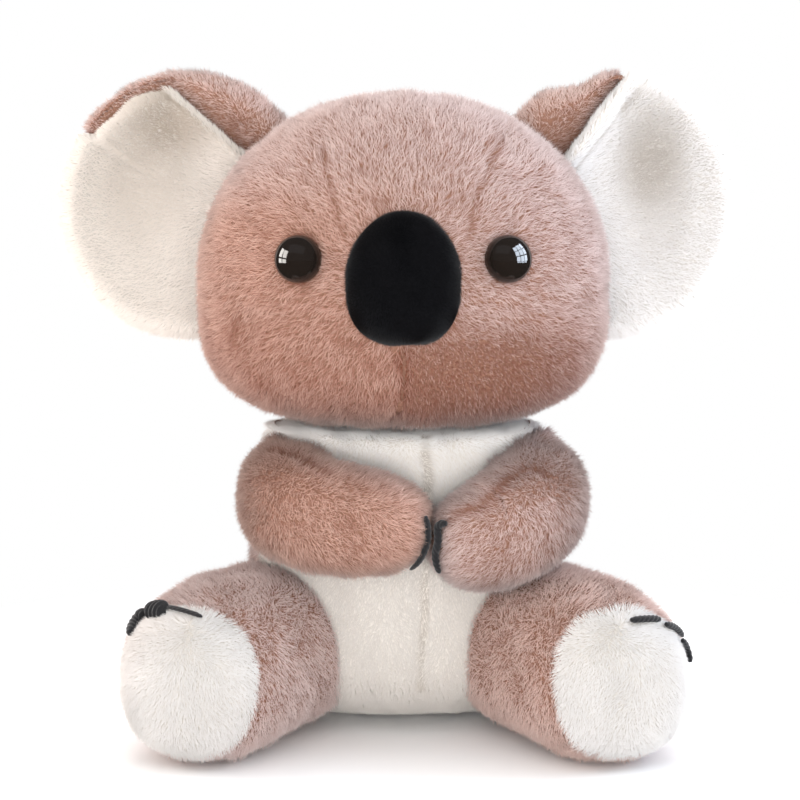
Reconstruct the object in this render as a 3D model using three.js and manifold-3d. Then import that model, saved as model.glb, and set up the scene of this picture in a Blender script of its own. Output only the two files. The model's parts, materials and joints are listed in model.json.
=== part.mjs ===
import * as THREE from 'three';
import { mergeVertices } from 'three/addons/utils/BufferGeometryUtils.js';
import Module from 'manifold-3d';

const wasm = await Module();
wasm.setup();

// A plush koala, sitting. Millimetres and degrees. It faces -Y, +Z is up, and z = 0 is the surface
// that it sits on. Left is the viewer's left, at -X. A stuffed form is a sewn plush cover with
// polyester filling in it, and each cover is open where it is sewn to the next one.
const clearance = 0.3; // between pieces that touch
const swingClearance = 0.5; // between a limb and what it swings past
const swingStep = 9; // widest step between the places where a swing is cleared
const cloth = 3; // plush cloth with its pile lying flat
const flatDepth = 0.5; // depth of the flat on each form that rests on the surface
const overrun = 60; // how far a cutting block reaches past what it cuts

const head = {
  width: 180, depth: 140, crown: 84, chin: 61, forward: 6,
  lift: 0.6, // gap between the chin's lowest point and the shoulders
  crownPower: 2.1, chinPower: 3.1, roundPower: 2.2,
  rings: 18, sides: 30, coreRings: 10, coreSides: 18,
};
const torso = {
  height: 129.4, width: 138, front: 60, back: 56,
  rings: 14, sides: 26, coreRings: 9, coreSides: 16,
  // from the bottom to the shoulders, as shares of the height, the width, the front and the back
  heightShares: [0, 0, 0.06, 0.17, 0.36, 0.57, 0.76, 0.9, 0.975, 1, 1],
  widthShares: [0, 0.5, 0.76, 0.93, 1, 0.99, 0.95, 0.92, 0.87, 0.78, 0],
  frontShares: [0, 0.15, 0.55, 0.92, 1, 0.98, 0.89, 0.79, 0.71, 0.55, 0],
  backShares: [0, 0.7, 0.88, 0.97, 1, 0.97, 0.91, 0.84, 0.76, 0.6, 0],
};
const headHeight = torso.height + head.lift + head.chin; // of the head's widest level
const neck = { radius: 35, height: 20, root: 12, power: 3, rings: 5, sides: 22 };
const belly = { seamTop: 8, seamBottom: 41 }; // how far forward its side seam lies, top and bottom
const limb = { rings: 13, sides: 16, coreRings: 9, coreSides: 11, power: 3.4, sectionPower: 2.3 };
const arm = {
  radius: 24.8, girthShares: [0.78, 0.92, 0.99, 1, 1, 0.97, 0.9],
  shoulderOut: 42, shoulderForward: 10, shoulderHeight: 108,
  elbowOut: 48, elbowForward: 46, elbowHeight: 100, elbowTuck: 6,
  hingeOut: 54, hingeForward: 12, hingeLean: 0.45, // its lean lifts the arm as it opens
  pawForward: 76, pawHeight: 96.5,
  // the shoulder's top is drawn up to a soft point under the head
  peakOut: 54, peakHeight: 124, peakLean: 4, peakRise: 7, peakSpread: 11,
};
const paws = {
  meet: 12, apart: 1.2, drop: 6, bulge: 8, // off the middle, with the right arm lower and further out
  // each claw is a thread between two places, as shares along the arm and round it
  clawShares: { left: [[0.95, 0.09], [0.85, -0.21]], right: [[0.92, 0.4], [0.9, 0.7]] },
};
const leg = {
  width: 80, thick: 73, hipOut: 34, hipBack: 6, hipHeight: 36, hingeOut: 36,
  kneeOut: 71.5, kneeForward: 54, toeOut: 91.3, toeForward: 118, toeHeight: 31,
  spread: 2.4, // the right foot lies further out
  widthShares: [0.75, 0.95, 1, 1, 0.96, 0.91, 0.86],
  thickShares: [0.8, 0.97, 1, 1.01, 1, 0.97, 0.94],
  sole: 18, // depth of the sole's domed pad
  soleTiltShares: { out: 0.12, up: 0.24 }, // the pad's seam leans back at its top and outside
  clawShares: {
    left: [[[0.76, 0.27], [0.72, 0.21]], [[0.71, 0.19], [0.69, 0.155]], [[0.675, 0.13], [0.73, 0.105]]],
    right: [[[0.78, 0.26], [0.75, 0.325]], [[0.75, 0.35], [0.74, 0.4]], [[0.74, 0.425], [0.74, 0.465]]],
  },
};
// The ears, the nose and the eyes are placed by their rise above the head's widest level.
const ear = {
  radius: 55.5, halfHeight: 58.5, out: 92.5, back: 6, rise: 33.5,
  shift: 1.8, // both ears lie this far to the left of the middle
  dish: 9, rim: 7, depth: 24, fold: 9, welt: 2, sides: 26,
  // the seam on the head
  rootTopOut: 62, rootTopRise: 71, rootBottomOut: 95, rootBottomDrop: 23, rootBack: 7,
  // The brown back is folded over the front at the upper root, along a straight edge. Its reach is
  // the edge's distance from the ear's middle, and at is in degrees up and round from the outside.
  foldEdge: { left: { reach: 33.5, at: 130 }, right: { reach: 28.8, at: 142 } },
  foldFrom: 66, foldFull: 108, foldHold: 74, foldTo: 215, // where the fold rises and falls, in degrees
  // profiles from the middle of the front round the edge to the middle of the back, as shares of
  // the seam's radius, the dish, the rim and the cloth
  liningShares: [[0, 1, 0, 0], [0.4, 0.8, 0, 0], [0.68, 0.2, 0.3, 0], [0.87, 0, 1, 0], [0.96, 0, 0.7, 0],
    [1, 0, 0, 0], [0.93, 0, 0, 1], [0.6, 0.55, 0, 1], [0, 1, 0, 1]],
  // and as shares of the seam's radius, the ear's radius, the dish, the fold and the depth
  bodyShares: [[0, 0, 1.15, 0, 0], [0.6, 0, 0.7, 0, 0], [0.94, 0, 0.1, 0, 0], [0.62, 0.4, 0, 0.85, 0],
    [0.25, 0.75, 0, 0.9, 0.03], [0, 1, 0, 0, 0.2], [0, 0.96, 0, 0, 0.55], [0, 0.7, 0, 0, 0.85],
    [0, 0, 0, 0, 1]],
};
const nose = {
  width: 48, height: 56, depth: 17, rise: 9, tuck: 5, widerBelowShare: 0.04, lowerPower: 2.7,
  rings: 10, sides: 20,
};
const eye = {
  out: 43.6, rise: 16.5, diameter: 20, dome: 8.5, rim: 1.6, sink: 1.7,
  stem: 5, stemLength: 15, domeSteps: 5, sides: 20,
};
const washer = { diameter: 18, bore: 5.7, thick: 2, depth: 5.4, sides: 16 };
const thread = { paw: 3.4, foot: 2.9, steps: 7, sides: 4, nudgeShare: 0.01 };
// Degrees that each seam lets its piece swing either way, or outwards and inwards.
const swing = { neck: 15, ear: 18, arm: 32, legOut: 18, legIn: 2 };

const brownPlush = { color: 0xb98c7c, roughness: 0.95, metalness: 0 };
const whitePlush = { color: 0xf4f2ee, roughness: 0.95, metalness: 0 };
const polyester = { color: 0xf7f7f5, roughness: 1, metalness: 0 };
const blackVelvet = { color: 0x0f0f12, roughness: 0.8, metalness: 0 };
const eyePlastic = { color: 0x1e1a17, roughness: 0.08, metalness: 0 };
const washerPlastic = { color: 0xe9e9e6, roughness: 0.5, metalness: 0 };
const blackThread = { color: 0x2a2a2c, roughness: 0.8, metalness: 0 };

const turn = 2 * Math.PI;
const upward = new THREE.Vector3(0, 0, 1);

const signedPower = (value, power) => Math.sign(value) * Math.abs(value) ** power;
const roundEnd = (share, power) => (1 - Math.abs(share) ** power) ** (1 / power);
const easeShare = (share) => (1 - Math.cos(Math.PI * share)) / 2;

// A smooth run through a table of shares, read at a place from 0 to 1.
function along(table, place) {
  const last = table.length - 1;
  const at = Math.min(Math.max(place, 0), 1) * last;
  const index = Math.min(Math.floor(at), last - 1);
  const u = at - index;
  const [a, b, c, d] = [-1, 0, 1, 2].map((k) => table[Math.min(Math.max(index + k, 0), last)]);
  const leave = (c - a) / 2;
  const arrive = (d - b) / 2;
  const bend = leave + arrive - 2 * (c - b);
  return b + u * (leave + u * (c - b - leave - bend + u * bend));
}

// Faces the triangles outwards: they are turned round where they enclose a negative volume.
function facingOut(points, faces) {
  const across = new THREE.Vector3();
  const volume = faces.reduce((sum, [a, b, c]) => (
    sum + points[a].dot(across.crossVectors(points[b], points[c]))), 0);
  const geometry = new THREE.BufferGeometry().setFromPoints(points);
  geometry.setIndex(faces.flatMap(([a, b, c]) => (volume > 0 ? [a, b, c] : [a, c, b])));
  return geometry;
}

// A closed skin of rings between two poles. place(share, turnShare) gives each point.
function closedSkin(ringCount, sideCount, place) {
  const points = [place(0, 0)];
  for (let ring = 1; ring < ringCount; ring += 1) {
    for (let side = 0; side < sideCount; side += 1) {
      points.push(place(ring / ringCount, side / sideCount));
    }
  }
  const last = points.push(place(1, 0)) - 1;
  const at = (ring, side) => 1 + (ring - 1) * sideCount + (side % sideCount);
  const faces = [];
  for (let side = 0; side < sideCount; side += 1) {
    faces.push([0, at(1, side + 1), at(1, side)]);
    for (let ring = 1; ring < ringCount - 1; ring += 1) {
      faces.push([at(ring, side), at(ring, side + 1), at(ring + 1, side + 1)]);
      faces.push([at(ring, side), at(ring + 1, side + 1), at(ring + 1, side)]);
    }
    faces.push([last, at(ringCount - 1, side), at(ringCount - 1, side + 1)]);
  }
  return facingOut(points, faces);
}

// The same skin with each point moved along its normal, outwards, or inwards if less than zero.
function grown(geometry, distance) {
  const moved = geometry.clone();
  moved.computeVertexNormals();
  const { position, normal } = moved.attributes;
  for (let i = 0; i < position.count; i += 1) {
    position.setX(i, position.getX(i) + normal.getX(i) * distance);
    position.setY(i, position.getY(i) + normal.getY(i) * distance);
    position.setZ(i, position.getZ(i) + normal.getZ(i) * distance);
  }
  moved.deleteAttribute('normal');
  return moved;
}

function solidOf(geometry) {
  const bare = geometry.clone();
  bare.deleteAttribute('normal');
  bare.deleteAttribute('uv');
  const merged = mergeVertices(bare);
  return new wasm.Manifold(new wasm.Mesh({
    numProp: 3,
    vertProperties: new Float32Array(merged.attributes.position.array),
    triVerts: new Uint32Array(merged.index.array),
  }));
}

function geometryOf(solid) {
  const mesh = solid.getMesh();
  const geometry = new THREE.BufferGeometry();
  geometry.setAttribute('position', new THREE.BufferAttribute(mesh.vertProperties, mesh.numProp));
  geometry.setIndex(new THREE.BufferAttribute(mesh.triVerts, 1));
  return geometry;
}

// Everything that a skin passes through, seen from a limb that swings on its hinge.
function sweptPast(skin, hinge) {
  const steps = Math.ceil((hinge.to - hinge.from) / swingStep);
  let swept = null;
  for (let step = 0; step <= steps; step += 1) {
    const angle = THREE.MathUtils.degToRad(hinge.from + ((hinge.to - hinge.from) * step) / steps);
    const moved = skin.clone();
    moved.translate(-hinge.at.x, -hinge.at.y, -hinge.at.z);
    moved.applyMatrix4(new THREE.Matrix4().makeRotationAxis(hinge.axis, -angle));
    moved.translate(hinge.at.x, hinge.at.y, hinge.at.z);
    swept = swept ? swept.add(solidOf(moved)) : solidOf(moved);
  }
  return swept;
}

// A block with one face through a point. It fills the side that the normal points to.
function beyond(point, normal) {
  const reach = headHeight + head.crown + overrun;
  const block = new THREE.BoxGeometry(2 * reach, 2 * reach, 2 * reach);
  block.translate(0, 0, reach);
  block.applyQuaternion(new THREE.Quaternion().setFromUnitVectors(upward, normal.clone().normalize()));
  block.translate(point.x, point.y, point.z);
  return solidOf(block);
}

const koala = new THREE.Group();

function show(name, solid, look) {
  const geometry = solid.isBufferGeometry ? solid : geometryOf(solid);
  const mesh = new THREE.Mesh(geometry, new THREE.MeshStandardMaterial(look));
  mesh.name = name;
  koala.add(mesh);
}

// A cover and its filling. The fine skin is the cover's outside, and the core skin, drawn in by the
// cloth, is the room inside, which the filling fills. What the cutter takes leaves the cover open.
function stuffed(fineSkin, coreSkin, cutter) {
  return {
    cover: solidOf(fineSkin).subtract(solidOf(grown(coreSkin, -cloth))).subtract(cutter),
    filling: solidOf(grown(coreSkin, -cloth - clearance)).subtract(cutter),
  };
}

// Head: a wide round form, fuller below, where the cheeks are.
function headSkin(ringCount, sideCount) {
  return closedSkin(ringCount, sideCount, (share, turnShare) => {
    const latitude = (share - 1 / 2) * Math.PI;
    const power = latitude > 0 ? head.crownPower : head.chinPower;
    const half = latitude > 0 ? head.crown : head.chin;
    const level = Math.abs(Math.cos(latitude)) ** (2 / power);
    const angle = turn * turnShare;
    return new THREE.Vector3(
      (head.width / 2) * level * signedPower(Math.cos(angle), 2 / head.roundPower),
      (head.depth / 2) * level * signedPower(Math.sin(angle), 2 / head.roundPower) - head.forward,
      half * signedPower(Math.sin(latitude), 2 / power) + headHeight,
    );
  });
}

// The place on the head's face at a distance across and a rise, with the way that it looks there.
function onFace(x, rise) {
  const power = rise > 0 ? head.crownPower : head.chinPower;
  const half = rise > 0 ? head.crown : head.chin;
  const round = head.roundPower;
  const level = roundEnd(rise / half, power);
  const ahead = (level ** round - Math.abs((2 * x) / head.width) ** round) ** (1 / round);
  const slope = (share, exponent, size) => signedPower(share, exponent - 1) / size;
  const tighten = level ** (power - round);
  const normal = new THREE.Vector3(
    slope((2 * x) / head.width, round, head.width / 2) * tighten,
    slope(-ahead, round, head.depth / 2) * tighten,
    slope(rise / half, power, half),
  );
  return {
    point: new THREE.Vector3(x, (-ahead * head.depth) / 2 - head.forward, headHeight + rise),
    normal: normal.normalize(),
  };
}

// Torso: a pear with flat shoulders.
function torsoSkin(ringCount, sideCount) {
  return closedSkin(ringCount, sideCount, (share, turnShare) => {
    const angle = turn * turnShare;
    const depth = Math.sin(angle) > 0
      ? torso.back * along(torso.backShares, share)
      : torso.front * along(torso.frontShares, share);
    return new THREE.Vector3(
      (torso.width / 2) * along(torso.widthShares, share) * Math.cos(angle),
      depth * Math.sin(angle),
      (torso.height + flatDepth) * along(torso.heightShares, share) - flatDepth,
    );
  });
}

// Neck: a short round stub on the shoulders, which the head is drawn down over.
function neckSkin() {
  const root = torso.height - neck.root;
  const rise = neck.height + neck.root;
  return closedSkin(neck.rings, neck.sides, (share, turnShare) => {
    const angle = turn * turnShare;
    const ring = share > 0 ? neck.radius * roundEnd(share, neck.power) : 0;
    const level = Math.max(share - 1 / neck.rings, 0) / (1 - 1 / neck.rings);
    return new THREE.Vector3(
      ring * Math.cos(angle), ring * Math.sin(angle), root + rise * Math.sin((level * Math.PI) / 2));
  });
}

// A limb is a row of rings along a smooth path, with blunt round ends.
function limbPlace(points, halfWidth, halfHeight, widthShares, heightShares) {
  const path = new THREE.CatmullRomCurve3(points.map(([x, y, z]) => new THREE.Vector3(x, y, z)));
  return (share, turnShare) => {
    const place = easeShare(share);
    const ahead = path.getTangent(place);
    const across = new THREE.Vector3().crossVectors(ahead, upward).normalize();
    const above = new THREE.Vector3().crossVectors(across, ahead).normalize();
    const end = roundEnd(2 * place - 1, limb.power);
    const angle = turn * turnShare;
    return path.getPoint(place)
      .addScaledVector(across,
        halfWidth * end * along(widthShares, place)
          * signedPower(Math.cos(angle), 2 / limb.sectionPower))
      .addScaledVector(above,
        halfHeight * end * along(heightShares, place)
          * signedPower(Math.sin(angle), 2 / limb.sectionPower));
  };
}

function armPlace(side) {
  const drop = side > 0 ? paws.drop : 0;
  const elbowOut = side > 0 ? arm.elbowOut + paws.bulge : arm.elbowOut;
  const tip = paws.meet + (side * paws.apart) / 2;
  const place = limbPlace([
    [side * arm.shoulderOut, -arm.shoulderForward, arm.shoulderHeight],
    [side * elbowOut, -(arm.shoulderForward + arm.elbowForward) / 2,
      (arm.shoulderHeight + arm.elbowHeight) / 2],
    [side * (elbowOut - arm.elbowTuck), -arm.elbowForward - arm.shoulderForward,
      arm.elbowHeight - drop / 2],
    [(side * elbowOut + tip) / 2, -(arm.elbowForward + 2 * arm.pawForward) / 3, arm.pawHeight - drop],
    [tip, -arm.pawForward, arm.pawHeight - drop],
  ], arm.radius, arm.radius, arm.girthShares, arm.girthShares);
  const peakOut = side > 0 ? arm.peakOut + paws.bulge / 2 : arm.peakOut;
  const peak = new THREE.Vector3(side * peakOut, -arm.shoulderForward, arm.peakHeight);
  const rise = new THREE.Vector3(side * arm.peakLean, 0, arm.peakRise);
  return (share, turnShare) => {
    const point = place(share, turnShare);
    const near = Math.exp(-((point.distanceTo(peak) / arm.peakSpread) ** 2));
    return point.addScaledVector(rise, near);
  };
}

const toeOut = (side) => leg.toeOut + (side > 0 ? leg.spread : 0);

function legPlace(side) {
  return limbPlace([
    [side * leg.hipOut, leg.hipBack, leg.hipHeight],
    [side * leg.kneeOut, -leg.kneeForward, leg.hipHeight],
    [side * toeOut(side), -leg.toeForward, leg.toeHeight],
  ], leg.width / 2, leg.thick / 2, leg.widthShares, leg.thickShares);
}

// A thread laid on a limb, from one place on its skin to another.
function threadOn(place, from, to, diameter) {
  const points = [];
  for (let step = 0; step <= thread.steps; step += 1) {
    const share = from[0] + ((to[0] - from[0]) * step) / thread.steps;
    const turnShare = from[1] + ((to[1] - from[1]) * step) / thread.steps;
    const here = place(share, turnShare);
    const onward = place(share + thread.nudgeShare, turnShare).sub(here);
    const round = place(share, turnShare + thread.nudgeShare).sub(here);
    const outward = new THREE.Vector3().crossVectors(onward, round).normalize();
    points.push(here.addScaledVector(outward, diameter / 2 + clearance));
  }
  const section = new THREE.Shape();
  section.absarc(0, 0, diameter / 2, 0, turn, false);
  return new THREE.ExtrudeGeometry(section, {
    steps: thread.steps, curveSegments: thread.sides, extrudePath: new THREE.CatmullRomCurve3(points),
  });
}

// A round piece turned about the way that the face looks, given as places out from its axis and
// above its base, with the base at a depth under the face.
function onEyeAxis(side, profile, sideCount) {
  const face = onFace(side * eye.out, eye.rise);
  const points = profile.map(([out, up]) => new THREE.Vector2(out, up));
  const geometry = new THREE.LatheGeometry(points, sideCount);
  geometry.applyQuaternion(
    new THREE.Quaternion().setFromUnitVectors(new THREE.Vector3(0, 1, 0), face.normal));
  const base = face.point.addScaledVector(face.normal, -eye.sink);
  geometry.translate(base.x, base.y, base.z);
  return geometry;
}

// The hinges are the sewn seams, where the cloth and the filling give.
function hingeOf(at, axis, from, to) {
  return { at: new THREE.Vector3(...at), axis: new THREE.Vector3(...axis).normalize(), from, to };
}
const hinges = {
  neck: hingeOf([0, 0, torso.height], [0, 0, 1], -swing.neck, swing.neck),
  ear: (side) => hingeOf(
    [(side * (ear.rootTopOut + ear.rootBottomOut)) / 2, ear.back + ear.rootBack,
      headHeight + (ear.rootTopRise - ear.rootBottomDrop) / 2],
    [ear.rootBottomOut - ear.rootTopOut, 0, -side * (ear.rootTopRise + ear.rootBottomDrop)],
    -swing.ear, swing.ear),
  arm: (side) => hingeOf(
    [side * arm.hingeOut, -arm.hingeForward, arm.elbowHeight], [-arm.hingeLean, 0, side], 0, swing.arm),
  leg: (side) => hingeOf(
    [side * leg.hingeOut, 0, leg.hipHeight], [0, 0, side], -swing.legIn, swing.legOut),
};

const names = new Map([[-1, 'left'], [1, 'right']]);
const headFine = headSkin(head.rings, head.sides);
const torsoFine = torsoSkin(torso.rings, torso.sides);
const floor = beyond(new THREE.Vector3(), upward.clone().negate());

function makeTorso() {
  const neckStub = neckSkin();
  const room = solidOf(grown(torsoSkin(torso.coreRings, torso.coreSides), -cloth))
    .add(solidOf(grown(neckStub, -cloth)));
  const cover = solidOf(torsoFine).add(solidOf(neckStub)).subtract(room).subtract(floor);
  const seam = new THREE.Vector3(0, -belly.seamBottom, 0);
  const lean = new THREE.Vector3(0, -torso.height, belly.seamBottom - belly.seamTop).normalize();
  const front = beyond(seam, lean);
  const frontGrown = beyond(seam.clone().addScaledVector(lean, -clearance), lean);
  show('torso_back', cover.subtract(frontGrown), brownPlush);
  show('belly_panel', cover.intersect(front), whitePlush);
  const core = solidOf(grown(torsoSkin(torso.coreRings, torso.coreSides), -cloth - clearance));
  show('torso_filling', core.add(solidOf(grown(neckStub, -cloth - clearance))), polyester);
}

function makeHead() {
  const radius = eye.diameter / 2;
  const eyeSeat = [[0, -clearance], [radius + clearance, -clearance],
    [radius + clearance, overrun], [0, overrun]];
  const stemHole = [[0, -eye.stemLength - clearance],
    [eye.stem / 2 + clearance, -eye.stemLength - clearance],
    [eye.stem / 2 + clearance, 0], [0, 0]];
  const washerTop = eye.sink - washer.depth;
  const washerHole = [[0, washerTop - washer.thick - clearance],
    [washer.diameter / 2 + clearance, washerTop - washer.thick - clearance],
    [washer.diameter / 2 + clearance, 0], [0, 0]];
  const socket = solidOf(grown(neckSkin(), swingClearance));
  const form = stuffed(headFine, headSkin(head.coreRings, head.coreSides), socket);
  let { cover, filling } = form;
  names.forEach((name, side) => {
    cover = cover.subtract(solidOf(onEyeAxis(side, eyeSeat, eye.sides)))
      .subtract(solidOf(onEyeAxis(side, stemHole, washer.sides)));
    filling = filling.subtract(solidOf(onEyeAxis(side, washerHole, washer.sides)))
      .subtract(solidOf(onEyeAxis(side, stemHole, washer.sides)));
  });
  show('head_cover', cover, brownPlush);
  show('head_filling', filling, polyester);
}

// Eyes: a domed button with a stem through the cloth, locked by a washer behind it.
function makeEye(side) {
  const radius = eye.diameter / 2;
  const dome = Array.from({ length: eye.domeSteps }, (_, step) => {
    const angle = (step / eye.domeSteps) * (Math.PI / 2);
    return [radius * Math.cos(angle), eye.rim + eye.dome * Math.sin(angle)];
  });
  show(`eye_${names.get(side)}`, onEyeAxis(side, [
    [0, -eye.stemLength], [eye.stem / 2, -eye.stemLength], [eye.stem / 2, 0], [radius, 0],
    ...dome, [0, eye.rim + eye.dome],
  ], eye.sides), eyePlastic);
  const top = eye.sink - washer.depth;
  show(`eye_washer_${names.get(side)}`, onEyeAxis(side, [
    [washer.bore / 2, top - washer.thick], [washer.diameter / 2, top - washer.thick],
    [washer.diameter / 2, top], [washer.bore / 2, top], [washer.bore / 2, top - washer.thick],
  ], washer.sides), washerPlastic);
}

// Nose: an egg of short velvet, a little wider and squarer below, sewn on the face.
function makeNose() {
  const face = onFace(0, nose.rise);
  const egg = closedSkin(nose.rings, nose.sides, (share, turnShare) => {
    const latitude = (share - 1 / 2) * Math.PI;
    const angle = turn * turnShare;
    const rise = Math.sin(latitude);
    const across = rise < 0 ? roundEnd(rise, nose.lowerPower) : Math.cos(latitude);
    const widen = 1 - nose.widerBelowShare * rise;
    return new THREE.Vector3(
      (nose.width / 2) * widen * across * Math.cos(angle),
      face.point.y + nose.tuck + nose.depth * widen * across * Math.sin(angle),
      face.point.z + (nose.height / 2) * rise,
    );
  });
  show('nose', solidOf(egg).subtract(solidOf(grown(headFine, clearance))), blackVelvet);
}

// Ears: a cupped white lining on a stuffed brown back, which folds over the front at the upper root.
function makeEar(side) {
  const foldAt = (angle) => {
    const degrees = (THREE.MathUtils.radToDeg(angle) + 360) % 360;
    return THREE.MathUtils.smoothstep(degrees, ear.foldFrom, ear.foldFull)
      * (1 - THREE.MathUtils.smoothstep(degrees, ear.foldFull + ear.foldHold, ear.foldTo));
  };
  const edge = ear.foldEdge[names.get(side)];
  const seamAt = (angle) => {
    const toEdge = Math.cos(angle - THREE.MathUtils.degToRad(edge.at));
    const round = ear.radius - ear.welt;
    return toEdge > edge.reach / round ? edge.reach / toEdge : round;
  };
  const put = (angle, out, ahead) => new THREE.Vector3(
    side * (ear.out + out * Math.cos(angle)) - ear.shift, ear.back - ahead,
    headHeight + ear.rise + out * Math.sin(angle) * (ear.halfHeight / ear.radius));
  const liningSkin = closedSkin(ear.liningShares.length - 1, ear.sides, (share, turnShare) => {
    const [out, dish, rim, back] = ear.liningShares[Math.round(share * (ear.liningShares.length - 1))];
    const angle = turn * turnShare;
    return put(angle, out * seamAt(angle), rim * ear.rim - dish * ear.dish - back * cloth);
  });
  const bodySkin = closedSkin(ear.bodyShares.length - 1, ear.sides, (share, turnShare) => {
    const shares = ear.bodyShares[Math.round(share * (ear.bodyShares.length - 1))];
    const [seam, rim, dish, fold, depth] = shares;
    const angle = turn * turnShare;
    return put(angle, seam * seamAt(angle) + rim * ear.radius,
      fold * ear.fold * foldAt(angle) - dish * ear.dish - depth * ear.depth);
  });
  const rest = sweptPast(grown(headFine, swingClearance), hinges.ear(side));
  const lining = solidOf(liningSkin);
  show(`ear_lining_${names.get(side)}`, lining.subtract(rest), whitePlush);
  show(`ear_back_${names.get(side)}`,
    solidOf(bodySkin).subtract(solidOf(grown(liningSkin, clearance))).subtract(rest), brownPlush);
}

function makeArm(side) {
  const place = armPlace(side);
  const middle = new THREE.Vector3(paws.meet + (side * paws.apart) / 2, 0, 0);
  const rest = sweptPast(grown(torsoFine, swingClearance), hinges.arm(side))
    .add(beyond(middle, new THREE.Vector3(-side, 0, 0)));
  const form = stuffed(
    closedSkin(limb.rings, limb.sides, place), closedSkin(limb.coreRings, limb.coreSides, place), rest);
  show(`arm_cover_${names.get(side)}`, form.cover, brownPlush);
  show(`arm_filling_${names.get(side)}`, form.filling, polyester);
  const [from, to] = paws.clawShares[names.get(side)];
  show(`paw_claw_${names.get(side)}`, threadOn(place, from, to, thread.paw), blackThread);
}

function makeLeg(side) {
  const place = legPlace(side);
  const rest = sweptPast(grown(torsoFine, swingClearance), hinges.leg(side)).add(floor);
  const form = stuffed(
    closedSkin(limb.rings, limb.sides, place), closedSkin(limb.coreRings, limb.coreSides, place), rest);
  const knee = new THREE.Vector3(side * leg.kneeOut, -leg.kneeForward, leg.hipHeight);
  const toe = new THREE.Vector3(side * toeOut(side), -leg.toeForward, leg.toeHeight);
  const ahead = toe.clone().sub(knee).normalize();
  const seam = toe.clone().addScaledVector(ahead, -leg.sole);
  const facing = new THREE.Vector3(side * leg.soleTiltShares.out, 0, leg.soleTiltShares.up)
    .add(ahead).normalize();
  const front = beyond(seam, facing);
  const frontGrown = beyond(seam.clone().addScaledVector(facing, -clearance), facing);
  show(`leg_cover_${names.get(side)}`, form.cover.subtract(frontGrown), brownPlush);
  show(`foot_pad_${names.get(side)}`, form.cover.intersect(front), whitePlush);
  show(`leg_filling_${names.get(side)}`, form.filling, polyester);
  leg.clawShares[names.get(side)].forEach(([from, to], index) => {
    show(`foot_claw_${names.get(side)}_${index + 1}`, threadOn(place, from, to, thread.foot), blackThread);
  });
}

makeTorso();
makeHead();
makeNose();
names.forEach((name, side) => {
  makeEye(side);
  makeEar(side);
  makeArm(side);
  makeLeg(side);
});

export default koala;
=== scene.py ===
import json
import math
import bpy
import numpy as np
from bpy.props import FloatProperty, FloatVectorProperty, IntProperty, PointerProperty
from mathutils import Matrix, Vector

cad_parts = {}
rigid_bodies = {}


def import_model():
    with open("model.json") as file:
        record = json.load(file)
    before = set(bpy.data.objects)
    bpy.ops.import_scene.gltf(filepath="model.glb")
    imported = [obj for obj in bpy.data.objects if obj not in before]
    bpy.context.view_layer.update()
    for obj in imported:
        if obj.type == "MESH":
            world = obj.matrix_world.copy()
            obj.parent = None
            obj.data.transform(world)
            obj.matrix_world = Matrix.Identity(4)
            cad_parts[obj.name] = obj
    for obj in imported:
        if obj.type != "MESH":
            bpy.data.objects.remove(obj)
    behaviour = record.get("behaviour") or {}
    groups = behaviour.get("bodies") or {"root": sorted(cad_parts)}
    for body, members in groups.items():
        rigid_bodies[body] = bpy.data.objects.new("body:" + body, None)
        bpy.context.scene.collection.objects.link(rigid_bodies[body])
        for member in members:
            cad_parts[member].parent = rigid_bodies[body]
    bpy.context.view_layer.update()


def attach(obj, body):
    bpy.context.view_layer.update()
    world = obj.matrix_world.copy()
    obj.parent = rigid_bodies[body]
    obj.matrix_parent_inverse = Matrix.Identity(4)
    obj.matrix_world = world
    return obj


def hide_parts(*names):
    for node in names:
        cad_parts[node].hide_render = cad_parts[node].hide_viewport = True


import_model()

bl_info = {
    "name": "Plush Koala",
    "version": (1, 0, 0),
    "blender": (4, 5, 0),
    "location": "3D View > Sidebar > Koala",
    "description": "Dresses the sitting koala in plush, velvet, buttons and floss",
    "category": "Add Mesh",
}

# Sizes are in millimetres, and shares have no unit. The frame is in metres.
MM = 0.001
TURN = 2 * math.pi
SIDES = {"left": -1, "right": 1}
# The materials' names.
BROWN, WHITE = "Sheared polyester plush, rose brown", "Sheared polyester plush, white"
BROWN_BACKING, WHITE_BACKING = "Knitted backing, brown", "Knitted backing, white"
VELVET, VELVET_GROUND = "Cotton velvet, black", "Velvet ground, black"
ACRYLIC, POLYPROPYLENE = "Polished acrylic, brown black", "Moulded polypropylene, natural"
FLOSS = "Twisted cotton floss, black"
PAPER = "Matt white paper"
# The head's crown and chin are measured from its widest level, which is at its height. The powers are
# those of its upright outline above and below that level, and of its level outline.
HEAD = {
    "width": 180, "depth": 140, "crown": 84, "chin": 61, "height": 191, "forward": 6,
    "crown_power": 2.1, "chin_power": 3.1, "round_power": 2.2,
}
# The torso's tables run from the middle of its seat, which lies flat, to the middle of its top.
TORSO = {
    "height": 129.4, "width": 138, "front": 60, "back": 56, "flat": 0.5,
    "height_shares": (0, 0, 0.06, 0.17, 0.36, 0.57, 0.76, 0.9, 0.975, 1, 1),
    "width_shares": (0, 0.5, 0.76, 0.93, 1, 0.99, 0.95, 0.92, 0.87, 0.78, 0),
    "front_shares": (0, 0.15, 0.55, 0.92, 1, 0.98, 0.89, 0.79, 0.71, 0.55, 0),
    "back_shares": (0, 0.7, 0.88, 0.97, 1, 0.97, 0.91, 0.84, 0.76, 0.6, 0),
}
# Where the neck meets the head, which has no pile there.
NECK = {"radius": 35, "height": 6}
# The belly's side seam: how far forward it lies at its top and bottom, how far it turns back over the
# shoulders within turn_height of the top, and how far it runs under the seat between two heights.
BELLY = {"seam_top": 8, "seam_bottom": 41, "seam_turn": 30, "turn_height": 8, "seam_under": 34,
         "under_from": 4, "under_to": 18}
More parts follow.
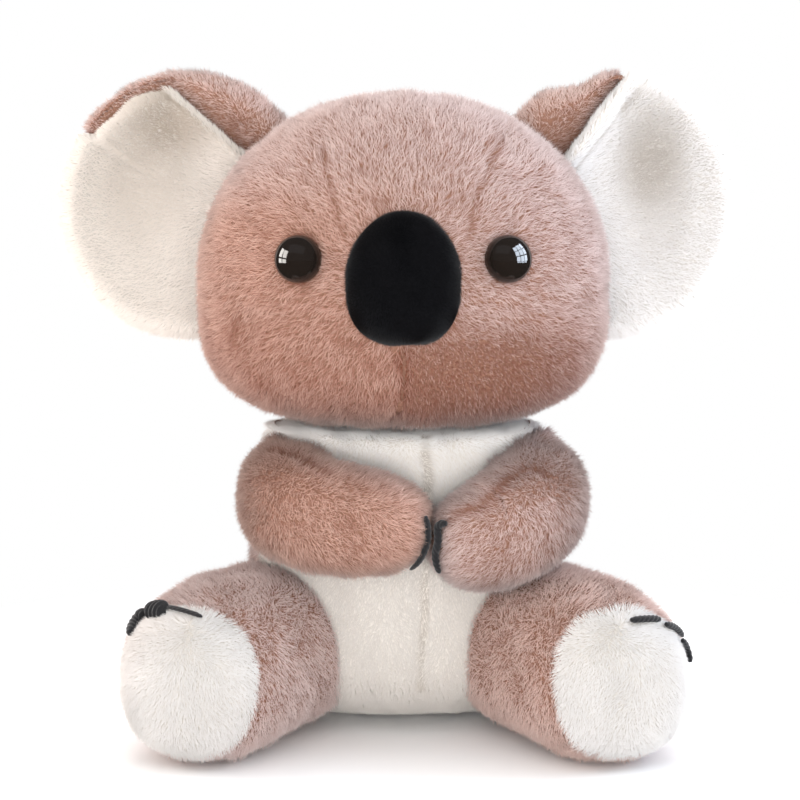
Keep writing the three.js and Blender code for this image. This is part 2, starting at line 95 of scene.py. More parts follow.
# The powers of a limb's rounded ends and of its section.
LIMB = {"power": 3.4, "section_power": 2.3}
# An arm's shoulder, elbow and paw are places out, ahead and up. The peak is how far out and up it is,
# how far it draws the shoulder outwards and up, and how wide it spreads.
ARM = {
    "radius": 24.8, "girth_shares": (0.78, 0.92, 0.99, 1, 1, 0.97, 0.9),
    "shoulder": (42, 10, 108), "elbow": (48, 46, 100), "tuck": 6, "paw": (76, 96.5),
    "meet": 12, "apart": 1.2, "drop": 6, "bulge": 8, "peak": (54, 124, 4, 7, 11),
}
# The pad's seam lies sole mm behind the toe, and leans by its tilt out and up.
LEG = {
    "width": 80, "thick": 73, "hip": (34, -6, 36), "knee": (71.5, 54, 36), "toe": (91.3, 118, 31),
    "spread": 2.4, "sole": 18, "sole_tilt": (0.12, 0.24),
    "width_shares": (0.75, 0.95, 1, 1, 0.96, 0.91, 0.86),
    "thick_shares": (0.8, 0.97, 1, 1.01, 1, 0.97, 0.94),
}
# The ears' sizes, and where the back's fold starts, is full and ends, in degrees up and round from
# outside. Behind the lining the back's rim, seam and cloth draw in by the tuck's three sizes, and under
# the fold its inner face stays clear of the lining by clear mm.
EAR = {
    "radius": 55.5, "half_height": 58.5, "out": 92.5, "back": 6, "height": 224.5, "shift": 1.8,
    "dish": 9, "rim": 7, "depth": 24, "fold": 9, "welt": 2, "thick": 3, "spread": 2.6, "corner": 2.0,
    "fold_from": 66, "fold_full": 108, "fold_hold": 74, "fold_to": 215, "brown_to": 200, "band_ease": 3,
    "dent_spread": 12, "tuck": (3.5, 5, 2.5), "clear": 3.5, "clear_shares": (0.12, 0.25), "root": (-40, -8),
    "lining_shares": ((0, 1, 0, 0), (0.4, 0.8, 0, 0), (0.68, 0.2, 0.3, 0), (0.87, 0, 1, 0), (0.96, 0, 0.7, 0),
                      (1, 0, 0, 0), (0.93, 0, 0, 1), (0.6, 0.55, 0, 1), (0, 1, 0, 1)),
    "back_shares": ((0, 0, 1.15, 0, 0), (0.6, 0, 0.7, 0, 0), (0.94, 0, 0.1, 0, 0), (0.62, 0.4, 0, 0.85, 0),
                    (0.25, 0.75, 0, 0.9, 0.03), (0, 1, 0, 0, 0.2), (0, 0.96, 0, 0, 0.55), (0, 0.7, 0, 0, 0.85),
                    (0, 0, 0, 0, 1)),
    "lining_back": 0.78, "back_front": 0.26,
}
# Seams in the head, each a line of points and the groove's half width and depth.
HEAD_SEAMS = (
    (((46.6, -20.5, 262.7), (41.2, -41.7, 255.3), (36.3, -52.5, 247.5), (31.1, -63.3, 233.7),
      (27.7, -68.5, 223.7), (26.4, -70.4, 217.7)), 1.2, 0.6),
    (((-44, -25, 261), (-39, -41, 256), (-33.8, -50.2, 251.5), (-31.2, -58.7, 241.7), (-28.1, -64.9, 231.7),
      (-23.9, -70.9, 217.7)), 1.2, 0.55),
    (((-4.3, -75.4, 172.4), (-0.6, -75.1, 169.4), (0.4, -74.6, 165), (0.4, -71.5, 155.5), (-0.5, -66, 146.4),
      (-1.9, -58.7, 139.7), (-6, -50.7, 135.4), (-10.9, -46.5, 134.1)), 0.8, 1.8),
    (((-61.9, -54.1, 157.2), (-58, -53, 151.5), (-54.1, -51.2, 146.2)), 1.0, 0.5),
)
# The seam down the belly and the creases across the arms, in the same way.
BELLY_SEAMS = ((((8.8, -34.5, 129.2), (8.9, -44.4, 122.9), (10.6, -48.7, 111), (9.9, -51.4, 103)), 2.2, 0.9),
               (((9.9, -51.4, 103), (9.5, -59.4, 61.5), (8.4, -59.4, 44.6), (7.8, -55, 21.9)), 1.6, 0.45))
ARM_CREASES = {
    "left": ((((-57, -40, 126), (-51.1, -49.3, 125.8), (-43.6, -60.0, 124.6), (-37.5, -69.9, 122.3),
               (-32.9, -73.6, 120.8)), 2.2, 0.8),),
    "right": ((((19.6, -82.6, 102.4), (24.5, -82.9, 105.3), (33.7, -82.8, 107.7), (39.2, -78.8, 112.4),
                (43.3, -72.4, 116.8), (53.0, -63.6, 120.9)), 2.0, 0.6),
              (((53.0, -63.6, 120.9), (57.3, -62.9, 120.7), (62.5, -65.7, 117.8)), 2.2, 0.8)),
}
# How deep a seam pulls the cloth in where its own depth is 1, and how much painted shade darkens its groove.
GROOVE = {"head": 1.3, "belly": 1.3, "arm": 1.8}
SEAM_SHADE = 0.9
# Stitches of floss, each a line of shares along the limb and round it, and its width's share.
PAW_CLAWS = {
    "left": (((0.95, 0.11), (0.975, 0.025), (0.965, -0.125), (0.915, -0.175), (0.825, -0.235)), 0.95),
    "right": (((0.905, 0.39), (0.955, 0.355), (0.975, 0.48), (0.965, 0.68), (0.895, 0.72)), 1.15),
}
FOOT_CLAWS = {
    "left": ((((0.76, 0.27), (0.735, 0.235), (0.71, 0.2)), 0.7), (((0.718, 0.198), (0.692, 0.155)), 2.6),
             (((0.685, 0.142), (0.672, 0.125), (0.69, 0.112), (0.735, 0.104)), 1.7)),
    "right": ((((0.78, 0.26), (0.765, 0.3), (0.745, 0.335)), 1.0),
              (((0.76, 0.345), (0.73, 0.38), (0.70, 0.42)), 1.0),
              (((0.75, 0.405), (0.73, 0.44), (0.74, 0.465)), 1.0)),
}
# What differs between the ears: how far out and at what angle the fold's straight edge lies, the angle
# from which the brown back shows, the width of its band over the rim, a dent in the rim, the width and
# height of the roll beside the fold, the spots of painted tan shade in the lining's cup, and how much
# painted warmth the lining has. A spot is its place out and up, its half width and half height, and
# the strength of its painted shade.
EAR_LOOKS = {
    "left": {"edge_reach": 33.5, "edge_at": 130, "brown_from": 34, "band": 3.6, "dent": 0, "dent_at": 106,
             "roll": 2.4, "roll_height": 0.8, "warm": 0.5,
             "hollows": ((2, 40, 21, 19, 0.7), (17, 14, 24, 32, 0.5))},
    "right": {"edge_reach": 28.8, "edge_at": 142, "brown_from": 85, "band": 0, "dent": 4, "dent_at": 107,
              "roll": 7.5, "roll_height": 2.2, "warm": 0.15,
              "hollows": ((16, 22, 15, 24, 0.65), (20, 4, 15, 30, 0.45))},
}
# The rough patch at the lower right of the face: its middle, half width and half height.
ROUGH = {"out": 38, "height": 152, "half_width": 37, "half_height": 22}
# How deep a white cloth lies under its pile's surface, and how deep its strands start.
WHITE_CLOTH = {"belly": 1.9, "pad": 1.8, "ear": 1.8, "strands": 1.2}
# How deep a cloth lies where the other cloth of the same limb or body covers it.
COVERED = 4.0
# Where an arm's and a leg's root hide the torso: their reach, and up to which share of their length.
HIDDEN = {"arm": (18, 0.35), "leg": (24, 0.6)}
# The soft lumps of the stuffing: the size of their waves, and the seed.
LUMPS = {"size": 17, "seed": 3}
MOST_STRANDS = 49000
# The thin lines where the pile parts: the size in mm and seed of the noise that draws them, how thin
# they are, and the size, seed and range of the noise that picks the areas that have them.
PARTINGS = ((11, 21, 0.17, 26, 22, -0.2, 0.7), (8, 23, 0.15, 20, 24, 0.1, 0.9))
# Each skin's rings between its poles, and the points on a ring.
GRIDS = {"head": (110, 160), "torso": (90, 120), "arm": (70, 80), "leg": (80, 90), "ear": (96, 160),
         "nose": (60, 72)}
# The studio's lamps: place, width and height in metres, the setting that their power follows, their
# share of it, and the colour.
LAMPS = {
    "front_lamp": ((-0.1, -1.7, 0.25), 1.4, 1.2, "key", 1.0, "#FFFFFF"),
    "left_lamp": ((-1.4, 0.15, 0.5), 1.0, 1.0, "side", 1.0, "#FFD2B4"),
    "right_lamp": ((1.4, 0.1, 0.7), 1.0, 1.0, "side", 1.5, "#D2E2FF"),
    "top_lamp": ((0, 0.7, 1.4), 1.0, 1.0, "side", 0.8, "#FFFFFF"),
    "table_glow": ((0, -0.8, 0.06), 1.0, 0.25, "key", 0.12, "#FFFDFA"),
}
# A ceiling that only shines in reflections: place, width, height, power and colour.
CEILING = ((-0.35, -0.9, 1.3), 1.8, 1.0, 1.3, "#F4F6FF")
# Windows, seen only in one eye's reflections: place, width and height in metres, columns and rows of
# panes, power and colour. A pane fills its share of the window's grid.
WINDOWS = {
    "left": ((-1.15, -0.22, 0.3), 0.9, 1.2, 2, 2, 40.0, "#FFFAF4"),
    "right": ((1.1, -0.38, 0.5), 1.2, 1.7, 3, 4, 90.0, "#E4F0FF"),
}
PANE_SHARE = 0.86
# Light that other cloth throws back on a white piece: the pieces that it reaches, its place, width and
# height in metres, power and colour.
GLOWS = {
    "chin_glow": (("belly_pile", "belly_skin"), (0.02, -0.5, 0.09), 0.4, 0.08, 1.0, "#FFFFFF"),
    "left_ear_glow": (("ear_lining_pile_left", "ear_lining_skin_left"), (-0.8, -0.7, 0.2), 0.4, 0.4, 2.2,
                      "#FFEFEC"),
    "right_ear_glow": (("ear_lining_pile_right", "ear_lining_skin_right"), (0.7, -0.7, 0.3), 0.4, 0.4, 4.2,
                       "#DDE9FF"),
}
# What the lamps point at and what the camera looks at, in metres. The photograph's width in pixels, a
# pixel's size at the toy and how many of them the toy stands off its middle give the camera's lens.
AIM = (0, 0, 0.15)
SIGHT_HEIGHT = 0.139
PHOTO = {"width": 800, "pixel": 0.44, "shift": -3, "sensor": 36}
# The floor's rings, in metres, and their sides.
FLOOR = {"rings": (0.3, 0.8, 2.0, 6.0), "sides": 96}
# How each cloth's pile lies. swirl, tousle and sway turn the strands from the comb: smoothly, each by
# itself and by clump. clump is a clump's size in mm, and pull how far it draws the strands' tips to its
# middle. ragged is how much their rise differs, tone how pale they are, vary how much that differs,
# painted shade at clumps' edges included, and parting how short they are and how much painted shade
# darkens them on the thin lines where the pile parts.
NATURES = {
    "brushed": {"swirl": 0.35, "tousle": 0.5, "sway": 1.1, "clump": 1.9, "pull": 0.4, "ragged": 0.3, "tone": 0.74,
                "vary": 1.0, "parting": 0.3},
    # The legs' tousled pile is the same cloth as the head's, painted paler as light on the legs.
    "tousled": {"swirl": 0.5, "tousle": 0.55, "sway": 1.3, "clump": 2.1, "pull": 0.35, "ragged": 0.3,
                "tone": 0.98, "vary": 0.8, "parting": 0.2},
    "soft": {"swirl": 0.4, "tousle": 0.35, "sway": 0.4, "clump": 3.2, "pull": 0.08, "ragged": 0.15, "tone": 0.97,
             "vary": 0.15, "parting": 0.02},
    "cupped": {"swirl": 0.1, "tousle": 0.3, "sway": 0.15, "clump": 2.4, "pull": 0.1, "ragged": 0.15, "tone": 0.97,
               "vary": 0.15, "parting": 0.0},
    "velvet": {"swirl": 0.3, "tousle": 0.5, "sway": 0.2, "clump": 1.5, "pull": 0.05, "ragged": 0.2, "tone": 0.5,
               "vary": 1.0, "parting": 0.0},
}
# The nose, an egg at its centre's height whose back is tucked into the face, and the eyes: how far out
# and up they are, and the button's diameter, dome, rim and how far it sinks into the face.
NOSE = {"width": 48, "height": 56, "depth": 17, "centre": 200, "tuck": 5, "wider_below": 0.04, "lower_power": 2.7}
EYE = {"out": 43.6, "height": 207.5, "diameter": 20, "dome": 8.5, "rim": 1.6, "sink": 1.7, "dimple": 1.2}


def linear(colour):
    """A colour written as an sRGB hex string, as linear red, green and blue."""
    parts = [int(colour[i:i + 2], 16) / 255 for i in (1, 3, 5)]
    return tuple(c / 12.92 if c <= 0.04045 else ((c + 0.055) / 1.055) ** 2.4 for c in parts)


class PlushSettings(bpy.types.PropertyGroup):
    """The pile of the brown and the white plush"""
    length: FloatProperty(name="Pile length", description="Length of a strand of the brown plush",
                          default=0.0048, unit="LENGTH")
    white_length: FloatProperty(name="White pile length", description="Length of a strand of the white plush",
                                default=0.0046, unit="LENGTH")
    width: FloatProperty(name="Strand width", description="Width of a strand at its root",
                         default=0.0004, unit="LENGTH")
    density: FloatProperty(name="Strands per mm2", description="Strands on a square millimetre of cloth",
                           default=1.7, min=0.1)
    lift: FloatProperty(name="Lift", description="How steeply the combed pile stands off the cloth",
                        default=math.radians(36), subtype="ANGLE")
    backing: FloatProperty(name="Cloth depth", description="How deep the cloth lies under the pile's surface",
                           default=0.0025, unit="LENGTH")
    plump: FloatProperty(name="Plumpness", description="Height of the stuffing's soft lumps",
                         default=0.0004, unit="LENGTH")
    # The roots are darker than the tips as painted shade deep in the pile.
    root: FloatVectorProperty(name="Root", description="Colour of the brown pile at the cloth",
                              subtype="COLOR", default=linear("#B98B7C"))
    tip: FloatVectorProperty(name="Tip", description="Colour of the brown pile at its tips",
                             subtype="COLOR", default=linear("#EFDEDA"))
    white_root: FloatVectorProperty(name="White root", description="Colour of the white pile at the cloth",
                                    subtype="COLOR", default=linear("#EAE6E2"))
    white_tip: FloatVectorProperty(name="White tip", description="Colour of the white pile at its tips",
                                   subtype="COLOR", default=linear("#F3F2F1"))


class FaceSettings(bpy.types.PropertyGroup):
    """The nose, the eyes and the floss"""
    nap: FloatProperty(name="Velvet nap", description="Length of the velvet's nap",
                       default=0.0011, unit="LENGTH")
    velvet: FloatVectorProperty(name="Velvet", description="Colour of the nose",
                                subtype="COLOR", default=linear("#16171B"))
    eye: FloatVectorProperty(name="Eyes", description="Colour of the eyes' plastic",
                             subtype="COLOR", default=linear("#1A1512"))
    floss: FloatVectorProperty(name="Floss", description="Colour of the claws' floss",
                               subtype="COLOR", default=linear("#161618"))
    floss_width: FloatProperty(name="Floss width", description="Width of a claw's twisted floss",
                               default=0.0032, unit="LENGTH")
    eye_steps: IntProperty(name="Eye steps", description="Rings of points on an eye's button", default=60, min=6)


class StageSettings(bpy.types.PropertyGroup):
    """The floor, the lamps and the camera"""
    key: FloatProperty(name="Key lamp", description="Power of the large lamp at the front", default=13.0)
    side: FloatProperty(name="Window lamps", description="Power of each window lamp", default=7.0)
    world: FloatProperty(name="Surroundings", description="Strength of the light from all around", default=1.35)
    mirrored: FloatProperty(name="Reflected room", description="Strength of the room in reflections", default=0.1)
    elevation: FloatProperty(name="Camera height", description="How far above level the camera looks from",
                             default=math.radians(8), subtype="ANGLE")
    distance: FloatProperty(name="Camera distance", description="From the camera to the toy's middle",
                            default=1.3, unit="LENGTH")


def signed_power(value, power):
    """The value's size raised to the power, with the value's own sign."""
    return np.sign(value) * np.abs(value) ** power


def smooth(value, low, high):
    """0 below low, 1 above high, and an even s-shaped rise between them."""
    rise = np.clip((value - low) / (high - low), 0, 1)
    return rise * rise * (3 - 2 * rise)


def unit(vectors):
    """The vectors, each made one unit long."""
    return vectors / np.maximum(np.linalg.norm(vectors, axis=-1, keepdims=True), 1e-9)


def stack(x, y, z):
    """Points from their three coordinates."""
    return np.stack(np.broadcast_arrays(x, y, z), axis=-1).astype(float)


def along(table, place):
    """A smooth run through a table of shares, read at places from 0 to 1: between two rows it is the
    cubic whose slope at each row is half the step from the row before it to the row after it."""
    table = np.asarray(table, float)
    last = len(table) - 1
    at = np.clip(place, 0, 1) * last
    index = np.minimum(at.astype(int), last - 1)
    u = at - index
    if table.ndim > 1:
        u = u[..., None]
    a, b, c, d = (table[np.clip(index + k, 0, last)] for k in (-1, 0, 1, 2))
    leave, arrive = (c - a) / 2, (d - b) / 2
    bend = leave + arrive - 2 * (c - b)
    return b + u * (leave + u * (c - b - leave - bend + u * bend))


def path_at(points, place):
    """A smooth path through a few points, at places from 0 to 1. Its slopes allow for the distances
    between the points, each raised to the power of a half, so it doesn't swing wide on a short span."""
    points = np.asarray(points, float)
    points = np.vstack([2 * points[0] - points[1], points, 2 * points[-1] - points[-2]])
    spans = len(points) - 3
    at = np.clip(place, 0, 1) * spans
    index = np.minimum(at.astype(int), spans - 1)
    u = (at - index)[..., None]
    p0, p1, p2, p3 = (points[index + k] for k in range(4))
    d0, d1, d2 = (np.linalg.norm(b - a, axis=-1, keepdims=True) ** 0.5
                  for a, b in ((p0, p1), (p1, p2), (p2, p3)))
    leave = ((p1 - p0) / d0 - (p2 - p0) / (d0 + d1) + (p2 - p1) / d1) * d1
    arrive = ((p2 - p1) / d1 - (p3 - p1) / (d1 + d2) + (p3 - p2) / d2) * d1
    return p1 + u * (leave + u * (3 * (p2 - p1) - 2 * leave - arrive + u * (leave + arrive - 2 * (p2 - p1))))


def head_form(share, turn):
    """The head: a rounded box whose level outline is a superellipse, and whose upright outline is one
    of its own power above the widest level and squarer below it."""
    latitude = (share - 0.5) * math.pi
    above = latitude > 0
    power = np.where(above, HEAD["crown_power"], HEAD["chin_power"])
    half = np.where(above, HEAD["crown"], HEAD["chin"])
    level = np.abs(np.cos(latitude)) ** (2 / power)
    angle = TURN * turn
    round_power = 2 / HEAD["round_power"]
    return stack(HEAD["width"] / 2 * level * signed_power(np.cos(angle), round_power),
                 HEAD["depth"] / 2 * level * signed_power(np.sin(angle), round_power) - HEAD["forward"],
                 half * signed_power(np.sin(latitude), 2 / power) + HEAD["height"])


def torso_form(share, turn):
    """The torso: level ellipses, flatter at the back, whose height, width and depths run smoothly
    through tables of shares from the seat to the shoulders."""
    angle = TURN * turn
    front = TORSO["front"] * along(TORSO["front_shares"], share)
    back = TORSO["back"] * along(TORSO["back_shares"], share)
    return stack(TORSO["width"] / 2 * along(TORSO["width_shares"], share) * np.cos(angle),
                 np.where(np.sin(angle) > 0, back, front) * np.sin(angle),
                 (TORSO["height"] + TORSO["flat"]) * along(TORSO["height_shares"], share) - TORSO["flat"])


def limb_form(points, half_width, half_height, width_shares, height_shares):
    """A limb: rings square to a smooth path. Each ring is a superellipse whose width and height follow
    tables of shares and shrink to nothing at both ends, as a rounded end does."""
    def place(share, turn):
        at = (1 - np.cos(math.pi * share)) / 2
        centre = path_at(points, at)
        ahead = unit(path_at(points, np.minimum(at + 1e-4, 1)) - path_at(points, np.maximum(at - 1e-4, 0)))
        across = unit(np.cross(ahead, (0, 0, 1)))
        above = unit(np.cross(across, ahead))
        end = (1 - np.abs(2 * at - 1) ** LIMB["power"]) ** (1 / LIMB["power"])
        angle = TURN * turn
        power = 2 / LIMB["section_power"]
        wide = half_width * end * along(width_shares, at) * signed_power(np.cos(angle), power)
        high = half_height * end * along(height_shares, at) * signed_power(np.sin(angle), power)
        return centre + across * wide[..., None] + above * high[..., None]
    return place


def arm_points(side):
    """An arm's middle line. It runs from the shoulder out and ahead round the elbow to the paw on the
    belly. The right arm bulges further out and hangs lower."""
    drop, bulge = (ARM["drop"], ARM["bulge"]) if side > 0 else (0, 0)
    shoulder, elbow, paw = ARM["shoulder"], ARM["elbow"], ARM["paw"]
    out = elbow[0] + bulge
    tip = ARM["meet"] + side * ARM["apart"] / 2
    return [(side * shoulder[0], -shoulder[1], shoulder[2]),
            (side * out, -(shoulder[1] + elbow[1]) / 2, (shoulder[2] + elbow[2]) / 2),
            (side * (out - ARM["tuck"]), -elbow[1] - shoulder[1], elbow[2] - drop / 2),
            ((side * out + tip) / 2, -(elbow[1] + 2 * paw[0]) / 3, paw[1] - drop),
            (tip, -paw[0], paw[1] - drop)]


def arm_form(side):
    """An arm, with its shoulder's top drawn up to a soft point under the head."""
    plain = limb_form(arm_points(side), ARM["radius"], ARM["radius"], ARM["girth_shares"], ARM["girth_shares"])
    out, high, lean, rise, spread = ARM["peak"]
    peak = np.array([side * out + (ARM["bulge"] / 2 if side > 0 else 0), -ARM["shoulder"][1], high])

    def place(share, turn):
        points = plain(share, turn)
        near = np.exp(-((points - peak) ** 2).sum(-1, keepdims=True) / spread ** 2)
        return points + near * np.array([side * lean, 0, rise])
    return place


def leg_points(side):
    """A leg's middle line, from the hip to the toe. The right foot points a little further out."""
    hip, knee, toe = LEG["hip"], LEG["knee"], LEG["toe"]
    out = toe[0] + (LEG["spread"] if side > 0 else 0)
    return [(side * hip[0], -hip[1], hip[2]), (side * knee[0], -knee[1], knee[2]),
            (side * out, -toe[1], toe[2])]


def leg_form(side):
    """A leg, a little wider than it is thick."""
    return limb_form(leg_points(side), LEG["width"] / 2, LEG["thick"] / 2,
                     LEG["width_shares"], LEG["thick_shares"])


def ear_place(side, angle, out, ahead):
    """The point at an angle and distance round an ear's middle, and so far ahead of its seam."""
    return stack(side * (EAR["out"] + out * np.cos(angle)) - EAR["shift"], EAR["back"] - ahead,
                 EAR["height"] + out * np.sin(angle) * EAR["half_height"] / EAR["radius"])


def ear_fold(angle):
    """How high the back's fold rises in front, from 0 to 1, by the angle up and round from outside."""
    degrees = np.degrees(angle) % 360
    full = EAR["fold_full"]
    return (smooth(degrees, EAR["fold_from"], full)
            * (1 - smooth(degrees, full + EAR["fold_hold"], EAR["fold_to"])))


def brown_over(side, angle):
    """1 where the brown back shows over the rim, and 0 where the white lining reaches round it."""
    start = look_of(side)["brown_from"]
    ease = EAR["band_ease"]
    degrees = np.degrees(angle) % 360
    return smooth(degrees, start - ease, start + ease) * (1 - smooth(degrees, EAR["brown_to"], EAR["fold_to"]))


def look_of(side):
    """What is this ear's own."""
    return EAR_LOOKS["left" if side < 0 else "right"]


def ear_seam(side, angle):
    """The seam's distance from the ear's middle: a circle, less the brown band's width, cut off by the
    fold's straight edge, with its corners softened over a few millimetres."""
    look = look_of(side)
    soft = EAR["corner"]
    to_edge = np.maximum(np.cos(angle - math.radians(look["edge_at"])), 0.05)
    circle = EAR["radius"] - EAR["welt"] - look["band"] * brown_over(side, angle)
    return -soft * np.log(np.exp(-circle / soft) + np.exp(-look["edge_reach"] / to_edge / soft))


def lining_form(side):
    """An ear's cupped front: one profile of shares of the seam's radius, the dish, the rim and the
    cloth's thickness, turned round the ear's middle, from the middle to the seam and back behind."""
    def place(share, turn):
        angle = TURN * turn
        profile = along(EAR["lining_shares"], share)
        out, dish, rim, behind = (profile[..., k] for k in range(4))
        reach = ear_seam(side, angle) + EAR["spread"] * (1 - brown_over(side, angle))
        return ear_place(side, angle, out * reach, rim * EAR["rim"] - dish * EAR["dish"] - behind * EAR["thick"])
    return place


def offset_from(points, line):
    """The shortest way from a line of straight runs to each point."""
    line = np.array(line, float)
    nearest = np.full(points.shape, np.inf)
    for start, end in zip(line, line[1:]):
        run = end - start
        share = np.clip(((points - start) @ run) / (run @ run), 0, 1)
        offset = points - start - share[:, None] * run
        closer = (offset ** 2).sum(-1) < (nearest ** 2).sum(-1)
        nearest[closer] = offset[closer]
    return nearest


def near_seams(points, seams):
    """How deep each point lies in a groove: each seam's depth, fading with the square of the distance
    from it."""
    return np.max([depth * np.exp(-(np.linalg.norm(offset_from(points, line), axis=-1) / width) ** 2)
                   for line, width, depth in seams], axis=0)


def seam_sides(points, seams):
    """The way off the nearest seams, fading over twice their widths: pile parts along a seam."""
    total = np.zeros(points.shape)
    for line, width, depth in seams:
        offset = offset_from(points, line)
        gap = np.linalg.norm(offset, axis=-1, keepdims=True)
        total += depth * offset / np.maximum(gap, 0.1) * np.exp(-(gap / width / 2) ** 2)
    return total


def ear_back_form(side):
    """An ear's stuffed back: a profile from the seam over the folded rim to the middle of the back.
    Where the lining covers the rim, the back is drawn in behind it."""
    look = look_of(side)
    tuck_rim, tuck_seam, tuck_cloth = EAR["tuck"]

    def place(share, turn):
        angle = TURN * turn
        profile = along(EAR["back_shares"], share)
        seam, rim, dish, fold, depth = (profile[..., k] for k in range(5))
        degrees = np.degrees(angle) % 360
        covered = 1 - brown_over(side, angle)
        dent = look["dent"] * np.exp(-((degrees - look["dent_at"]) / EAR["dent_spread"]) ** 2)
        behind = (tuck_cloth * covered * (1 - depth)
                  + EAR["clear"] * (1 - covered) * (1 - smooth(share, *EAR["clear_shares"])))
        return ear_place(side, angle,
                         seam * (ear_seam(side, angle) - tuck_seam * covered)
                         + rim * (EAR["radius"] - dent - tuck_rim * covered),
                         fold * EAR["fold"] * ear_fold(angle) - dish * EAR["dish"] - depth * EAR["depth"]
                         - behind)
    return place


def nose_form(share, turn):
    """The nose: an egg, a little wider and squarer below, half sunk in the face."""
    rise = np.sin((share - 0.5) * math.pi)
    power = np.where(rise < 0, NOSE["lower_power"], 2)
    out = np.maximum(1 - np.abs(rise) ** power, 0) ** (1 / power) * (1 - NOSE["wider_below"] * rise)
    face = -HEAD["depth"] / 2 - HEAD["forward"] + NOSE["tuck"]
    angle = TURN * turn
    return stack(NOSE["width"] / 2 * out * np.cos(angle), face + NOSE["depth"] * out * np.sin(angle),
                 NOSE["centre"] + NOSE["height"] / 2 * rise)


def outward(form):
    """1 or -1: which way round the form's two directions give a normal that points outwards."""
    step = 1e-3
    share, turn = np.meshgrid(np.linspace(0.02, 0.98, 30), np.linspace(0, 1, 40))
    points = form(share, turn)
    flow = np.cross(form(share, turn + step) - points, form(share + step, turn) - points)
    return np.sign((flow * (points - points.reshape(-1, 3).mean(0))).sum())


def normals_at(form, share, turn, sign):
    """Normals from small steps both ways along the form's two directions. At a pole the step stays on
    the form's inner side."""
    step, pole = 2e-3, 1e-4
    low, high = np.clip(share - step, pole, 1), np.clip(share + step, 0, 1 - pole)
    flow = np.cross(form(share, turn + step) - form(share, turn - step), form(high, turn) - form(low, turn))
    return sign * unit(flow)


def wave(points, size, seed):
    """Smooth noise, mostly from -1 to 1: eight sine waves, each about size mm long, that run in
    directions drawn at random."""
    waves, level = 8, 2.6
    rng = np.random.default_rng(seed)
    runs = unit(rng.normal(size=(waves, 3))) * TURN / (size * rng.uniform(0.7, 1.5, (waves, 1)))
    return np.sin(points @ runs.T + rng.uniform(0, TURN, waves)).sum(-1) / level


def lumps(points, height):
    """How far the stuffing's soft lumps push the cloth out or in, in mm."""
    return height * wave(points, LUMPS["size"], LUMPS["seed"])


def clump_centres(points, size, seed):
    """The clump that each point belongs to. Space is cut into cubes of size mm, each with one centre
    at a random place in it. A point goes to the nearest centre in its own and the 26 cubes round it.
    Also gives each clump a random tone from 0 to 1. A cube's random numbers are the fractions of large
    sine waves of its place."""
    cell = np.floor(points / size)
    spread = np.array([[12.9898, 39.346, 73.156, 51.77], [78.233, 11.135, 52.235, 93.71],
                       [37.719, 83.155, 9.151, 27.13]])
    scale = 4375.85453
    nearest = np.full(len(points), np.inf)
    centre, tone = np.zeros_like(points), np.zeros(len(points))
    for offset in np.ndindex(3, 3, 3):
        corner = cell + np.array(offset) - 1
        random = np.modf(np.abs(np.sin(corner @ spread + seed)) * scale)[0]
        place = (corner + random[:, :3]) * size
        distance = ((points - place) ** 2).sum(-1)
        closer = distance < nearest
        nearest = np.where(closer, distance, nearest)
        centre[closer], tone[closer] = place[closer], random[closer, 3]
    return centre, tone


def fill_mesh(name, points, faces):
    """A smooth mesh from points in mm and faces that all have as many corners."""
    mesh = bpy.data.meshes.new(name)
    corners = faces.shape[1]
    mesh.vertices.add(len(points))
    mesh.vertices.foreach_set("co", (points * MM).astype(np.float32).ravel())
    mesh.loops.add(faces.size)
    mesh.loops.foreach_set("vertex_index", faces.astype(np.int32).ravel())
    mesh.polygons.add(len(faces))
    mesh.polygons.foreach_set("loop_start", np.arange(0, faces.size, corners, dtype=np.int32))
    mesh.polygons.foreach_set("use_smooth", np.full(len(faces), True))
    mesh.update(calc_edges=True)
    return mesh


def place_piece(mesh, body, material, slot):
    """An object of the mesh that rides its body and wears the material. The slot is not used."""
    piece = bpy.data.objects.new(mesh.name, mesh)
    bpy.context.scene.collection.objects.link(piece)
    mesh.materials.append(material)
    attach(piece, body)
    return piece


def closed_faces(rings, sides, sign):
    """Faces of rings of points between two poles, as triangles, facing outwards."""
    ring, side = np.meshgrid(np.arange(rings - 2), np.arange(sides), indexing="ij")
    a = 1 + ring * sides + side
    b = 1 + ring * sides + (side + 1) % sides
    faces = [np.stack([a, b, b + sides], -1).reshape(-1, 3),
             np.stack([a, b + sides, a + sides], -1).reshape(-1, 3)]
    step = np.arange(sides)
    onward = (step + 1) % sides
    last = 1 + (rings - 1) * sides
    faces.append(np.stack([np.zeros(sides, int), 1 + onward, 1 + step], -1))
    faces.append(np.stack([np.full(sides, last), last - sides + step, last - sides + onward], -1))
    faces = np.vstack(faces)
    return faces if sign > 0 else faces[:, ::-1]


def skin(name, form, body, material, slot, rings=72, sides=110, inset=0.0, plump=0.0, relief=None, ground=None,
         tube=False, until=1.0):
    """A closed skin: the form's points on a grid of rings between its two poles, each moved inwards
    along its normal by the inset. Soft lumps and the relief, in mm, move it out or in. Where a bent
    tube's rings cross, its points move along the way out of their ring instead. Past the share until,
    the back of a thin cloth, the points stay where they are."""
    crossed, ease = -0.2, 0.08
    sign = outward(form)
    share, turn = np.meshgrid(np.arange(1, rings) / rings, np.arange(sides) / sides, indexing="ij")
    surface = form(share, turn)
    out = lumps(surface, plump) - inset
    if relief is not None:
        out = out + relief(surface.reshape(-1, 3)).reshape(out.shape)
    out = out * (1 - smooth(share, until, until + ease))
    normal = normals_at(form, share, turn, sign)
    if tube:
        radial = unit(surface - surface.mean(1, keepdims=True))
        normal = np.where((normal * radial).sum(-1, keepdims=True) > crossed, normal, radial)
    points = surface + out[..., None] * normal
    start, end = points[0].mean(0), points[-1].mean(0)
    points = np.vstack([start, points.reshape(-1, 3), end])
    if ground is not None:
        points[:, 2] = np.maximum(points[:, 2], ground)
    mesh = fill_mesh(name, points, closed_faces(rings, sides, sign))
    return place_piece(mesh, body, material, slot)


